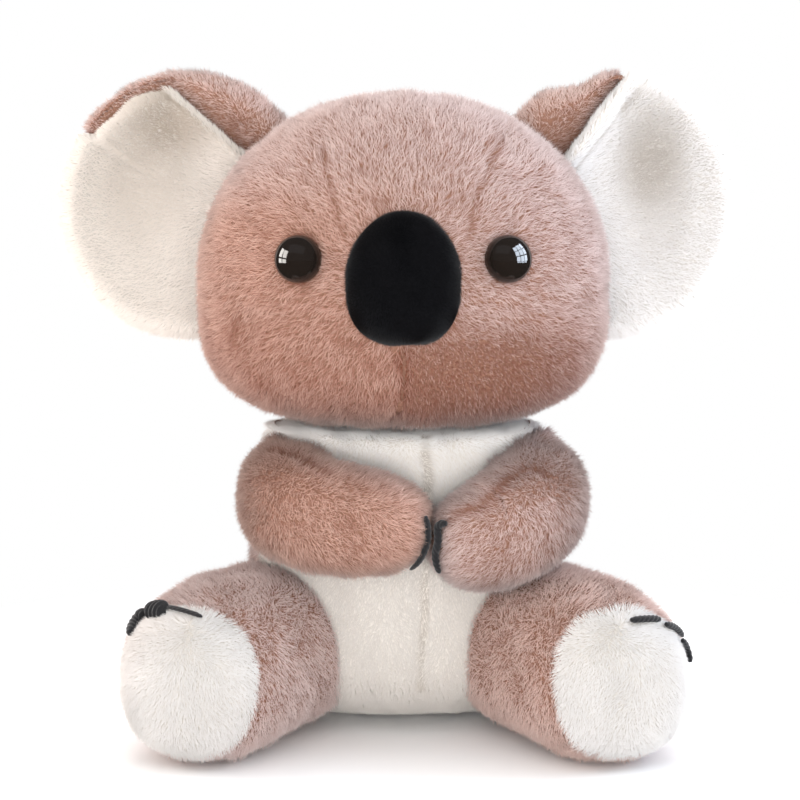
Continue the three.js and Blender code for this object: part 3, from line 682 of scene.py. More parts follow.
def parting_at(root):
    """How far each root lies in a parting. A parting runs where a smooth noise is near zero, only in
    some areas."""
    return sum(np.exp(-(wave(root, size, seed) / thin) ** 2) * smooth(wave(root, area, area_seed), low, high)
               for size, seed, thin, area, area_seed, low, high in PARTINGS)


def scatter(form, span, density, rng):
    """Places spread evenly over a form: its domain is cut into small cells, each cell gets places in
    proportion to its area, and they lie at random in it."""
    low_share, high_share, low_turn, high_turn = span
    rows, columns = 160, 200
    shares = low_share + (high_share - low_share) * (np.arange(rows) + 0.5) / rows
    turns = low_turn + (high_turn - low_turn) * (np.arange(columns) + 0.5) / columns
    share, turn = np.meshgrid(shares, turns, indexing="ij")
    half_row, half_column = (high_share - low_share) / rows / 2, (high_turn - low_turn) / columns / 2
    area = np.linalg.norm(np.cross(form(share + half_row, turn) - form(share - half_row, turn),
                                   form(share, turn + half_column) - form(share, turn - half_column)), axis=-1)
    total = np.cumsum(area.ravel())
    count = int(total[-1] * density)
    cell = np.searchsorted(total, (np.arange(count) + rng.random(count)) / count * total[-1])
    cell = np.minimum(cell, area.size - 1)
    share = share.ravel()[cell] + half_row * rng.uniform(-1, 1, count)
    turn = turn.ravel()[cell] + half_column * rng.uniform(-1, 1, count)
    return np.clip(share, 0, 1), turn


def strands(root, normal, comb, length, width, rise, nature, tint, ruffle, seed):
    """Spikes of four triangular faces, one of them turned outwards. Each leaves the cloth at its rise,
    turned from the comb by a smooth swirl and a random angle, and its tip is drawn towards the middle
    of its clump, most where the pile is ruffled. Strands at a clump's edge are painted darker, as shade
    between the clumps, and a parting's strands are shorter and painted darker, as shade in the parting."""
    swirl_size, tuft_share, sunk, middle, ridge_tilt = 24, 3.3, 0.5, 0.4, 0.35
    shortest, longest, flattest, steepest = 0.7, 1.08, 0.12, 1.5
    # Strands far from their clump's middle are painted darker, as shade between the clumps, most where the pile is
    # ruffled.
    by_clump, by_tuft, by_strand, by_edge = 0.26, 0.14, 0.1, 0.22
    ruffled_turn, ruffled_pull, ruffled_edge = 0.8, 0.45, 2.0
    rng = np.random.default_rng(seed)
    count = len(root)
    tangent = unit(comb - normal * (comb * normal).sum(-1, keepdims=True))
    side = np.cross(normal, tangent)
    centre, tone = clump_centres(root, nature["clump"], seed)
    tuft = clump_centres(root, nature["clump"] * tuft_share, seed + 7)[1]
    parting = parting_at(root)
    yaw = (nature["swirl"] * wave(root, swirl_size, seed)
           + (nature["tousle"] + ruffled_turn * ruffle) * rng.normal(size=count)
           + nature["sway"] * (0.6 * tone + 0.4 * tuft - 0.5))
    rise = rise * (1 + nature["ragged"] * rng.normal(size=count) + 0.3 * (tuft - 0.5))
    rise = np.clip(rise, flattest, steepest)
    flat = tangent * np.cos(yaw)[:, None] + side * np.sin(yaw)[:, None]
    ahead = flat * np.cos(rise)[:, None] + normal * np.sin(rise)[:, None]
    reach = (length * rng.uniform(shortest, longest, count) * (0.92 + 0.16 * tone)
             * (1 - 0.5 * nature["parting"] * parting))
    tip = root + ahead * reach[:, None]
    draw = centre - root
    draw -= normal * (draw * normal).sum(-1, keepdims=True)
    tip += (nature["pull"] + ruffled_pull * ruffle)[:, None] * draw
    edge = np.linalg.norm(draw, axis=-1) / nature["clump"] - middle
    ahead = unit(tip - root)
    across = unit(np.cross(normal, ahead))
    under = np.cross(ahead, across)
    angle = TURN / 12 + rng.normal(0, ridge_tilt, count)
    base = root - normal * sunk
    corners = [angle + k * TURN / 3 for k in range(3)]
    ring = [base + (across * np.cos(corner)[:, None] + under * np.sin(corner)[:, None]) * (width / 2)[:, None]
            for corner in corners]
    vary = (by_clump * (tone - 0.5) + by_tuft * (tuft - 0.5) + by_strand * rng.normal(size=count)
            - by_edge * edge)
    # The shade holds the cloth's own tone and its random differences, and painted light and shade at clumps' edges, in
    # partings and from the looks.
    shade = (nature["tone"] + nature["vary"] * vary - nature["parting"] * parting + tint
             - ruffled_edge * ruffle * edge)
    return np.stack([*ring, tip], axis=1), shade, ahead


def pile(name, form, span, body, material, slot, comb, keep, settings, seed, length, nature="brushed",
         density=1.0, lift=1.0, width=1.0, inset=None, facing=(0, 0, 0), tube=False, **looks):
    """One panel's pile. comb is a function of the roots in mm and their normals, and keep tells which
    roots have a strand. looks holds functions of the roots: relief, shorten, lifted, tint, which is painted
    light and shade, deep, which darkens the strands at the cloth as painted shade, warm, which is painted
    warmth, and ruffle. The strands' shading follows the cloth under them, turned towards facing, so that
    they look soft. A bent tube has none where its rings cross, which is where its normal doesn't point
    away from the ring's far side, a little nearer its middle."""
    nearer, crossed, floor, leaning = 0.85, 0.2, 0.25, 0.25
    rng = np.random.default_rng(seed)
    sign = outward(form)
    share, turn = scatter(form, span, settings.density * density, rng)
    surface = form(share, turn)
    kept = keep(surface)
    share, turn, surface = share[kept], turn[kept], surface[kept]
    normal = normals_at(form, share, turn, sign)
    if tube:
        radial = unit(surface - form(0.5 + nearer * (share - 0.5), turn + 0.5))
        kept = (normal * radial).sum(-1) > crossed
        surface, normal = surface[kept], normal[kept]
    if len(surface) > MOST_STRANDS:
        picked = np.sort(rng.permutation(len(surface))[:MOST_STRANDS])
        surface, normal = surface[picked], normal[picked]
    count = len(surface)

    def look(kind, plain=0.0):
        return looks[kind](surface) if kind in looks else np.full(count, plain)

    out = lumps(surface, settings.plump / MM) - (settings.backing / MM if inset is None else inset)
    corners, shade, ahead = strands(
        surface + (out + look("relief"))[:, None] * normal, normal, comb(surface, normal),
        length / MM * look("shorten", 1.0), np.full(count, settings.width / MM * width),
        settings.lift * lift + look("lifted"), NATURES[nature], look("tint"), look("ruffle"), seed)
    corners[..., 2] = np.maximum(corners[..., 2], floor)
    first = 4 * np.arange(count)[:, None]
    faces = (first[:, :, None] + np.array([[0, 1, 3], [1, 2, 3], [2, 0, 3], [0, 2, 1]])[None]).reshape(-1, 3)
    mesh = fill_mesh(name, corners.reshape(-1, 3), faces)
    shades = np.repeat(shade[:, None], 4, axis=1)
    # Painted shade at the roots, deep in the pile.
    shades[:, :3] -= look("deep")[:, None]
    for kind, values in (("along", np.tile([0, 0, 0, 1], count)), ("shade", np.clip(shades, 0, 1).ravel()),
                         ("warm", np.repeat(np.clip(look("warm"), 0, 1), 4))):
        mesh.attributes.new(kind, "FLOAT", "POINT").data.foreach_set("value", values.astype(np.float32))
    soft = unit(normal + leaning * ahead + np.array(facing, float))
    mesh.normals_split_custom_set_from_vertices(np.repeat(soft, 4, axis=0))
    pack_strand_uv(mesh, count)
    return place_piece(mesh, body, material, slot)


def floss(name, form, stitch, body, material, slot, width, proud=0.9):
    """A stitch of twisted floss: a tube along a smooth line on the form's surface. Its section has
    three lobes that wind round it, and its width eases to nothing at both ends."""
    places, widen = stitch
    steps, sides = 44, 18
    lobe_count, lobe_height, twist, flatten = 3, 0.09, 0.9, 0.8
    run = np.arange(1, steps) / steps
    shares = path_at([(*place, 0) for place in places], run)
    surface = form(shares[:, 0], shares[:, 1])
    out = normals_at(form, shares[:, 0], shares[:, 1], outward(form))
    centre = surface + out * proud
    ahead = unit(np.gradient(centre, axis=0))
    across = unit(np.cross(ahead, out))
    above = np.cross(across, ahead)
    end = (1 - np.abs(2 * run - 1) ** 5) ** (1 / 2.2)
    turn = np.arange(sides) / sides * TURN
    travel = np.concatenate([[0], np.cumsum(np.linalg.norm(np.diff(centre, axis=0), axis=-1))])
    lobes = 1 + lobe_height * np.cos(lobe_count * (turn[None] - travel[:, None] * twist))
    radius = width * widen / 2 * end[:, None] * lobes
    points = (centre[:, None] + across[:, None] * (radius * np.cos(turn))[..., None]
              + above[:, None] * (flatten * radius * np.sin(turn))[..., None])
    points = np.vstack([points[0].mean(0), points.reshape(-1, 3), points[-1].mean(0)])
    mesh = fill_mesh(name, points, closed_faces(steps, sides, -1))
    return place_piece(mesh, body, material, slot)


def pack_strand_uv(mesh, count):
    """Each strand has its own cell in the map, with the root at the cell's foot and the tip at its top."""
    across = math.ceil(math.sqrt(count))
    index = np.arange(count)
    cell = np.stack([index % across, index // across], -1)[:, None, :]
    corner = np.array([[0.1, 0.1], [0.9, 0.1], [0.5, 0.1], [0.5, 0.9]])
    order = np.array([0, 1, 3, 1, 2, 3, 2, 0, 3, 0, 2, 1])
    spots = (cell + corner[order][None]) / across
    layer = mesh.uv_layers.new(name="OFBake")
    layer.uv.foreach_set("vector", spots.astype(np.float32).ravel())


def add_node(tree, kind, settings=None, links=None):
    """Adds a node. settings holds its properties and its inputs' values, and links what feeds them."""
    node = tree.nodes.new(kind)
    for key, value in (settings or {}).items():
        if isinstance(key, str) and hasattr(node, key):
            setattr(node, key, value)
        else:
            node.inputs[key].default_value = value
    for key, source in (links or {}).items():
        tree.links.new(source, node.inputs[key])
    return node


def new_material(name):
    """The tree and the output of a new, empty material."""
    made = bpy.data.materials.new(name)
    made.use_nodes = True
    tree = made.node_tree
    tree.nodes.clear()
    return tree, add_node(tree, "ShaderNodeOutputMaterial")


def solid(colour):
    """A colour with full cover."""
    return (*colour, 1.0)


def pile_material(name, root, tip, tone_and_shade_colour, warmth, sheen):
    """Sheared polyester plush: each strand is painted darker at the cloth and paler at its tip, as shade
    deep in the pile, and clumps of strands differ a little in tone, so the cloth looks deep and soft.
    Where the shade is low it takes the darker colour, for the cloth's own tone and for painted shade.
    Some places are painted warmer, mostly standing in for warmer light. Sheen gives the pale bloom at
    its edges."""
    tree, output = new_material(name)
    reach, shade, warm = (add_node(tree, "ShaderNodeAttribute", {"attribute_name": kind}).outputs["Fac"]
                          for kind in ("along", "shade", "warm"))
    eased = add_node(tree, "ShaderNodeMath", {"operation": "POWER", 1: 0.75}, {0: reach})
    colour = add_node(tree, "ShaderNodeMix", {"data_type": "RGBA", 6: solid(root), 7: solid(tip)},
                      {0: eased.outputs[0]})
    lower = add_node(tree, "ShaderNodeMath", {"operation": "SUBTRACT", 0: 1.0}, {1: shade})
    deep = add_node(tree, "ShaderNodeMix", {"data_type": "RGBA", "blend_type": "MULTIPLY", 7: solid(tone_and_shade_colour)},
                    {0: lower.outputs[0], 6: colour.outputs[2]})
    warmed = add_node(tree, "ShaderNodeMix", {"data_type": "RGBA", "blend_type": "MULTIPLY", 7: solid(warmth)},
                      {0: warm, 6: deep.outputs[2]})
    shader = add_node(tree, "ShaderNodeBsdfPrincipled",
                      {"Roughness": 0.85, "Sheen Weight": sheen, "Sheen Roughness": 0.5,
                       "Specular IOR Level": 0.2}, {"Base Color": warmed.outputs[2]})
    tree.links.new(shader.outputs[0], output.inputs[0])


def backing_material(name, colour, dark):
    """The knitted cloth under the pile, with a fine stitch that shows only in the partings."""
    stitch_size, relief = 1.2 * MM, 0.6 * MM
    tree, output = new_material(name)
    place = add_node(tree, "ShaderNodeTexCoord")
    stitch = add_node(tree, "ShaderNodeTexVoronoi", {"Scale": 1 / stitch_size},
                      {"Vector": place.outputs["Object"]})
    mixed = add_node(tree, "ShaderNodeMix", {"data_type": "RGBA", 6: solid(colour), 7: solid(dark)},
                     {0: stitch.outputs["Distance"]})
    bump = add_node(tree, "ShaderNodeBump", {"Strength": 0.4, "Distance": relief},
                    {"Height": stitch.outputs["Distance"]})
    shader = add_node(tree, "ShaderNodeBsdfPrincipled", {"Roughness": 0.95, "Specular IOR Level": 0.15},
                      {"Base Color": mixed.outputs[2], "Normal": bump.outputs[0]})
    tree.links.new(shader.outputs[0], output.inputs[0])


def plastic_material(name, colour, roughness):
    """Moulded plastic, smooth and glossy as it is polished, with faint scuffs about 4 mm apart that
    break the highlight a little."""
    scuff_size = 4 * MM
    tree, output = new_material(name)
    place = add_node(tree, "ShaderNodeTexCoord")
    scuff = add_node(tree, "ShaderNodeTexNoise", {"Scale": 1 / scuff_size, "Detail": 4.0},
                     {"Vector": place.outputs["Object"]})
    rough = add_node(tree, "ShaderNodeMapRange", {1: 0.35, 2: 0.75, 3: roughness, 4: roughness + 0.05},
                     {0: scuff.outputs[0]})
    shader = add_node(tree, "ShaderNodeBsdfPrincipled", {"Base Color": solid(colour), "IOR": 1.49},
                      {"Roughness": rough.outputs[0]})
    tree.links.new(shader.outputs[0], output.inputs[0])


def floss_material(name, colour):
    """Twisted black cotton floss: matt, with fuzz about 0.6 mm wide that makes it look spun."""
    fuzz_size, relief, lighter = 0.6 * MM, 0.3 * MM, 2.2
    tree, output = new_material(name)
    place = add_node(tree, "ShaderNodeTexCoord")
    fuzz = add_node(tree, "ShaderNodeTexNoise", {"Scale": 1 / fuzz_size, "Detail": 3.0},
                    {"Vector": place.outputs["Object"]})
    pale = solid(tuple(c * lighter for c in colour))
    mixed = add_node(tree, "ShaderNodeMix", {"data_type": "RGBA", 6: solid(colour), 7: pale},
                     {0: fuzz.outputs[0]})
    bump = add_node(tree, "ShaderNodeBump", {"Strength": 0.6, "Distance": relief}, {"Height": fuzz.outputs[0]})
    shader = add_node(tree, "ShaderNodeBsdfPrincipled",
                      {"Roughness": 0.8, "Sheen Weight": 0.3, "Specular IOR Level": 0.25},
                      {"Base Color": mixed.outputs[2], "Normal": bump.outputs[0]})
    tree.links.new(shader.outputs[0], output.inputs[0])


def inside_torso(points, margin):
    """True for points inside the torso form, drawn in by a margin in mm."""
    shares = np.linspace(0, 1, 200)
    level = torso_form(shares, np.zeros(200))[:, 2]
    share = np.interp(points[:, 2], level, shares)
    wide = TORSO["width"] / 2 * along(TORSO["width_shares"], share) - margin
    deep = np.where(points[:, 1] > 0, TORSO["back"] * along(TORSO["back_shares"], share),
                    TORSO["front"] * along(TORSO["front_shares"], share)) - margin
    deep, wide = np.maximum(deep, 0.1), np.maximum(wide, 0.1)
    return (((points[:, 0] / wide) ** 2 + (points[:, 1] / deep) ** 2 < 1)
            & (points[:, 2] < TORSO["height"] - margin))


def inside_head(points, margin):
    """True for points inside the head form, drawn in by a margin in mm."""
    rise = points[:, 2] - HEAD["height"]
    power = np.where(rise > 0, HEAD["crown_power"], HEAD["chin_power"])
    half = np.where(rise > 0, HEAD["crown"], HEAD["chin"]) - margin
    level = np.maximum(1 - np.abs(rise / half) ** power, 1e-6) ** (1 / power)
    wide, deep = (HEAD["width"] / 2 - margin) * level, (HEAD["depth"] / 2 - margin) * level
    off_middle = (np.abs(points[:, 0] / wide) ** HEAD["round_power"]
                  + np.abs((points[:, 1] + HEAD["forward"]) / deep) ** HEAD["round_power"])
    return (off_middle < 1) & (np.abs(rise) < half)


def near_path(points, path, reach, until=1.0):
    """True for points within reach of a limb's middle line, from its root to a share of its length."""
    middle = path_at(path, np.linspace(0, until, 40))
    return (((points[:, None, :] - middle[None]) ** 2).sum(-1) < reach ** 2).any(-1)


def belly_seam(height):
    """How far forward the belly's side seam lies at a height: a straight line up the body's side, which
    turns back over the shoulders under the head, and under the seat."""
    straight = BELLY["seam_bottom"] + (BELLY["seam_top"] - BELLY["seam_bottom"]) * height / TORSO["height"]
    return (straight
            - BELLY["seam_turn"] * smooth(height, TORSO["height"] - BELLY["turn_height"], TORSO["height"])
            - BELLY["seam_under"] * (1 - smooth(height, BELLY["under_from"], BELLY["under_to"])))


def face_frame(side):
    """The eye's place on the face and the way that it looks there."""
    across, rise = side * EYE["out"], (EYE["height"] - HEAD["height"]) / HEAD["crown"]
    share = 0.5 + math.asin(rise ** (HEAD["crown_power"] / 2)) / math.pi
    turns = np.linspace(0.5, 1.0, 2000)
    points = head_form(np.full(len(turns), share), turns)
    turn = turns[np.argmin(np.abs(points[:, 0] - across))]
    share, turn = np.array([share]), np.array([turn])
    return head_form(share, turn)[0], normals_at(head_form, share, turn, outward(head_form))[0]


def even(value):
    """A look that is the same at every point."""
    return lambda points: np.full(len(points), value)


def eye_gap(points):
    """The distance from the nearest eye's edge, in mm."""
    return np.minimum(*(np.linalg.norm(points - face_frame(side)[0], axis=-1) - EYE["diameter"] / 2
                        for side in SIDES.values()))


def under_nose(points):
    """True for the face under the nose, to a little inside its edge."""
    front, tuck = -40, 1.5
    rise = (points[:, 2] - NOSE["centre"]) / (NOSE["height"] / 2)
    half = NOSE["width"] / 2 * (1 - NOSE["wider_below"] * rise) - tuck
    power = np.where(rise < 0, NOSE["lower_power"], 2)
    return (points[:, 1] < front) & (np.abs(points[:, 0] / half) ** power
                                     + np.abs(rise * NOSE["height"] / (NOSE["height"] - 2 * tuck)) ** power < 1)


def under_ears(points):
    """True for the head's sides where the ears are sewn on."""
    edge, front, back = 5, 2, 22
    covered = np.zeros(len(points), bool)
    for side in SIDES.values():
        across = (points[:, 0] - side * EAR["out"] + EAR["shift"]) / (EAR["radius"] - edge)
        up = (points[:, 2] - EAR["height"]) / (EAR["half_height"] - edge)
        covered |= across ** 2 + up ** 2 < 1
    return covered & (points[:, 1] > front) & (points[:, 1] < back)


def rough(points):
    """The lower right of the face, where the pile stands up, its roots and the gaps between its tufts painted dark as
    shade.
    """
    across = (points[:, 0] - ROUGH["out"]) / ROUGH["half_width"]
    up = (points[:, 2] - ROUGH["height"]) / ROUGH["half_height"]
    return np.exp(-across ** 4 - up ** 4) * (points[:, 1] < 0) * smooth(points[:, 0], -1, 2)


def muzzle(points):
    """How much each point belongs to the lower face and its sides."""
    return (1 - smooth(points[:, 2], 140, 205)) * (points[:, 1] < 20)


class KOALA_OT_materials(bpy.types.Operator):
    """Mix the materials"""
    bl_idname = "koala.materials"
    bl_label = "Materials"

    def execute(self, context):
        plush, face = context.scene.koala_plush, context.scene.koala_face
        # The velvet is painted darker at its roots, as shade in its nap.
        velvet_root = tuple(c * 0.6 for c in face.velvet)
        # Each pile's third colour darkens it by its own tone and by painted shade, and its fourth is its painted
        # warmth.
        for name, root, tip, tone_and_shade_colour, warmth, sheen in (
                (BROWN, plush.root, plush.tip, "#A47E6E", "#FFEDE0", 0.2),
                (WHITE, plush.white_root, plush.white_tip, "#C3BCB4", "#FFF3E4", 0.05),
                (VELVET, velvet_root, face.velvet, "#D0D0D8", "#FFFFFF", 0.1)):
            pile_material(name, root, tip, linear(tone_and_shade_colour), linear(warmth), sheen)
        # Each backing is darker than its pile's tips, partly its own colour and partly painted shade for the gaps
        # between the strands.
        for name, colour, dark in ((BROWN_BACKING, "#98705F", "#84604F"), (WHITE_BACKING, "#DDD7D0", "#D2CBC2"),
                                   (VELVET_GROUND, "#0B0B0E", "#060608")):
            backing_material(name, linear(colour), linear(dark))
        plastic_material(ACRYLIC, face.eye, 0.04)
        plastic_material(POLYPROPYLENE, linear("#E9E9E6"), 0.45)
        floss_material(FLOSS, face.floss)
        floor_material()
        return {"FINISHED"}


def material(name):
    """The finished material of that name."""
    return bpy.data.materials[name]


class KOALA_OT_head(bpy.types.Operator):
    """Sew the head: a stuffed cover with its pile combed away from the nose"""
    bl_idname = "koala.head"
    bl_label = "Head"

    def execute(self, context):
        plush = context.scene.koala_plush
        nose_tip = np.array([0, -HEAD["depth"] / 2 - HEAD["forward"], NOSE["centre"]])

        def in_seam(points):
            return near_seams(points, HEAD_SEAMS)

        def relief(points):
            """The seams' grooves, and the dimple that the eye's stem pulls round it."""
            return -GROOVE["head"] * in_seam(points) - EYE["dimple"] * (1 - smooth(eye_gap(points), 0, 4))

        cover = skin("head_skin", head_form, "head", material(BROWN_BACKING), "brown_plush",
                     *GRIDS["head"], plush.backing / MM, plush.plump / MM, relief)
        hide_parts("head_cover", "head_filling")

        def comb(points, normals):
            """Away from the nose, and down at the back and the sides."""
            back = smooth(points[:, 1], 0, 40)[:, None]
            droop = smooth(np.abs(points[:, 0]), 20, 80)[:, None]
            return (unit(points - nose_tip) + back * np.array([0, 0, -1.3]) + droop * np.array([0, 0, -0.45])
                    + 0.4 * seam_sides(points, HEAD_SEAMS))

        def keep(points):
            neck = ((points[:, 2] < TORSO["height"] + NECK["height"])
                    & (np.hypot(points[:, 0], points[:, 1]) < NECK["radius"]))
            under_eye = eye_gap(points) < -1.0
            return ~(under_nose(points) | under_eye | under_ears(points) | neck | (in_seam(points) > 1.2))

        def shorten(points):
            return np.maximum(1 - 0.35 * in_seam(points) - 0.35 * rough(points), 0.4)

        def lifted(points):
            """Strands stand up in the rough patch, and beside an eye on its side by the nose and below."""
            inner = (np.abs(points[:, 0]) < EYE["out"] + 4) | (points[:, 2] < EYE["height"] - 4)
            return 0.75 * rough(points) + 0.55 * inner * (1 - smooth(eye_gap(points), 0, 3))

        def tint(points):
            """Painted light and shade: darker in the seams' grooves, the rough patch and the muzzle, in a thin
            ring round the eyes and a little towards the left, and paler on the crown.
            """
            return (-SEAM_SHADE * in_seam(points) - 0.28 * rough(points) - 0.3 * muzzle(points)
                    - 0.7 * (1 - smooth(eye_gap(points), -0.5, 0.8)) + 0.12 * smooth(points[:, 2], 205, 250)
                    - 0.06 * smooth(-points[:, 0], 10, 70))

        # Painted shade at the strands' roots, most in the rough patch and a little on the muzzle.
        def deep(points):
            return 0.15 + 0.7 * rough(points) + 0.1 * muzzle(points)

        def warm(points):
            """Painted warmth: warmer towards the left, save on the crown, for the warmer light from that side,
            and on the muzzle, in its shade.
            """
            return (smooth(-points[:, 0], -40, 45) * (1 - 0.9 * smooth(points[:, 2], 215, 250))
                    + 0.5 * muzzle(points))

        panels = 4
        for k in range(panels):
            pile(f"head_pile_{k + 1}", head_form, (0, 1, k / panels, (k + 1) / panels), "head",
                 material(BROWN), "brown_plush", comb, keep, plush, 10 + k, plush.length, relief=relief,
                 shorten=shorten, lifted=lifted, tint=tint, deep=deep, warm=warm, ruffle=rough,
                 density=1.0 if k > 1 else 0.8)
        return {"FINISHED"}


class KOALA_OT_torso(bpy.types.Operator):
    """Sew the torso: the brown back, and the white panel down its front"""
    bl_idname = "koala.torso"
    bl_label = "Torso"

    def execute(self, context):
        plush = context.scene.koala_plush
        inset, plump, white_inset = plush.backing / MM, plush.plump / MM, WHITE_CLOTH["belly"]
        limbs = [(path(side), *HIDDEN[limb]) for side in SIDES.values()
                 for limb, path in (("arm", arm_points), ("leg", leg_points))]

        def front(points):
            return -points[:, 1] >= belly_seam(points[:, 2])

        def uncovered(points):
            free = ~inside_head(points, 3)
            for path, reach, until in limbs:
                free &= ~near_path(points, path, reach, until)
            return free

        def down(points, normals):
            return (stack(0.15 * points[:, 0] / 60, 0.15 * points[:, 1] / 60, -1.0)
                    + 0.2 * seam_sides(points, BELLY_SEAMS))

        def groove(points):
            return -GROOVE["belly"] * near_seams(points, BELLY_SEAMS)

        def tint(points):
            """Painted shade: darker in the seam's groove, a little all over, lower down where the arms and the
            legs keep the light off, and less at the very top under the chin.
            """
            return (-SEAM_SHADE * near_seams(points, BELLY_SEAMS) - 0.35 + 0.25 * smooth(points[:, 2], 121, 127)
                    - 0.35 * (1 - smooth(points[:, 2], 70, 118)))

        back = skin("torso_skin", torso_form, "torso", material(BROWN_BACKING), "brown_plush",
                    *GRIDS["torso"], inset, plump, lambda points: np.where(front(points), inset - COVERED, 0))
        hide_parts("torso_back", "torso_filling")
        belly = skin("belly_skin", torso_form, "torso", material(WHITE_BACKING), "white_plush",
                     *GRIDS["torso"], white_inset, plump,
                     lambda points: np.where(front(points), 0, white_inset - COVERED) + groove(points))
        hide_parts("belly_panel")
        for k, span in enumerate(((0, 0.25), (0.25, 0.5), (-0.15, 0.0), (0.5, 0.65))):
            pile(f"torso_pile_{k + 1}", torso_form, (0, 1, *span), "torso", material(BROWN), "brown_plush",
                 down, lambda points: uncovered(points) & ~front(points), plush, 20 + k, plush.length,
                 density=0.8 if k < 2 else 1.0)
        pile("belly_pile", torso_form, (0, 1, 0.4, 1.1), "torso", material(WHITE), "white_plush", down,
             lambda points: uncovered(points) & front(points), plush, 25, plush.white_length * 0.75, "soft",
             density=1.3, width=0.9, lift=0.8, inset=WHITE_CLOTH["strands"], relief=groove,
             facing=(0, -2.0, 0.2), tint=tint)
        return {"FINISHED"}


def limb_comb(path, droop):
    """Combs a limb's pile along its middle line towards the tip, and down a little."""
    middle = path_at(path, np.linspace(0, 1, 60))
    run = unit(np.gradient(middle, axis=0))

    def comb(points, normals):
        near = ((points[:, None] - middle[None]) ** 2).sum(-1).argmin(-1)
        return run[near] + np.array([0, 0, -droop])
    return comb


class KOALA_OT_arms(bpy.types.Operator):
    """Sew both arms, which fold over the belly"""
    bl_idname = "koala.arms"
    bl_label = "Arms"

    def execute(self, context):
        plush, face = context.scene.koala_plush, context.scene.koala_face
        for name, side in SIDES.items():
            form, body, creases = arm_form(side), f"arm_{name}", ARM_CREASES[name]
            along_arm = limb_comb(arm_points(side), 0.45)

            def relief(points):
                return -GROOVE["arm"] * near_seams(points, creases)

            cover = skin(f"arm_skin_{name}", form, body, material(BROWN_BACKING), "brown_plush",
                         *GRIDS["arm"], plush.backing / MM, plush.plump / MM,
                         lambda points: relief(points) - COVERED * inside_torso(points, -1), tube=True)
            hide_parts(f"arm_cover_{name}", f"arm_filling_{name}")
            pile(f"arm_pile_{name}", form, (0, 1, 0, 1), body, material(BROWN), "brown_plush",
                 lambda points, normals: along_arm(points, normals) + 0.5 * seam_sides(points, creases),
                 lambda points: ~inside_torso(points, 6) & ~inside_head(points, 4),
                 plush, 30 + side, plush.length, density=1.05, relief=relief, tube=True,
                 # Painted shade in the creases' grooves and at the roots, and painted warmth on the left arm.
                 tint=lambda points: -SEAM_SHADE * near_seams(points, creases),
                 deep=even(0.15),
                 warm=even(0.5 - 0.5 * side))
            claw = floss(f"paw_floss_{name}", form, PAW_CLAWS[name], body, material(FLOSS), "black_thread",
                         face.floss_width / MM)
            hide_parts(f"paw_claw_{name}")
        return {"FINISHED"}


def beyond_pad_seam(side):
    """A function that is true for points ahead of the seam round a foot's sole."""
    path = np.array(leg_points(side), float)
    ahead = (path[2] - path[1]) / np.linalg.norm(path[2] - path[1])
    seam = path[2] - ahead * LEG["sole"]
    tilt_out, tilt_up = LEG["sole_tilt"]
    tilted = unit(ahead + np.array([side * tilt_out, 0, tilt_up]))
    return lambda points: (points - seam) @ tilted >= 0


class KOALA_OT_legs(bpy.types.Operator):
    """Sew both legs, with a white pad on each sole"""
    bl_idname = "koala.legs"
    bl_label = "Legs"

    def execute(self, context):
        plush, face = context.scene.koala_plush, context.scene.koala_face
        inset, plump, white_inset = plush.backing / MM, plush.plump / MM, WHITE_CLOTH["pad"]
        for name, side in SIDES.items():
            form, body, beyond = leg_form(side), f"leg_{name}", beyond_pad_seam(side)
            path = np.array(leg_points(side), float)
            cover = skin(f"leg_skin_{name}", form, body, material(BROWN_BACKING), "brown_plush",
                         *GRIDS["leg"], inset, plump,
                         lambda points: np.where(beyond(points), inset - COVERED, 0), 0.4, tube=True)
            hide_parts(f"leg_cover_{name}", f"leg_filling_{name}")
            pad = skin(f"pad_skin_{name}", form, body, material(WHITE_BACKING), "white_plush",
                       *GRIDS["leg"], white_inset, plump,
                       lambda points: np.where(beyond(points), 0, white_inset - COVERED), 0.5, tube=True)
            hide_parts(f"foot_pad_{name}")
            pile(f"leg_pile_{name}", form, (0, 1, 0, 1), body, material(BROWN), "brown_plush",
                 limb_comb(path, 0.35), lambda points: ~inside_torso(points, 6) & ~beyond(points), plush,
                 40 + side, plush.length, "tousled", density=1.0, facing=(0, -0.5, 0.2), tube=True,
                 # Painted warmth, more on the right leg.
                 warm=even(0.25 + 0.25 * side))
            pile(f"pad_pile_{name}", form, (0.5, 1, 0, 1), body, material(WHITE), "white_plush",
                 lambda points, normals: 0.6 * unit(points - path[2]) + np.array([0, 0, -1.0]), beyond, plush,
                 45 + side, plush.white_length * 0.8, "soft", density=1.4, width=0.85, lift=0.8,
                 inset=WHITE_CLOTH["strands"], facing=(0, -0.8, 0),
                 # Painted shade: the pads a little darker, the left one more.
                 tint=even(-0.2 + 0.05 * side))
            for k, stitch in enumerate(FOOT_CLAWS[name]):
                claw = floss(f"foot_floss_{name}_{k + 1}", form, stitch, body, material(FLOSS), "black_thread",
                             face.floss_width / MM)
                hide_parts(f"foot_claw_{name}_{k + 1}")
        return {"FINISHED"}


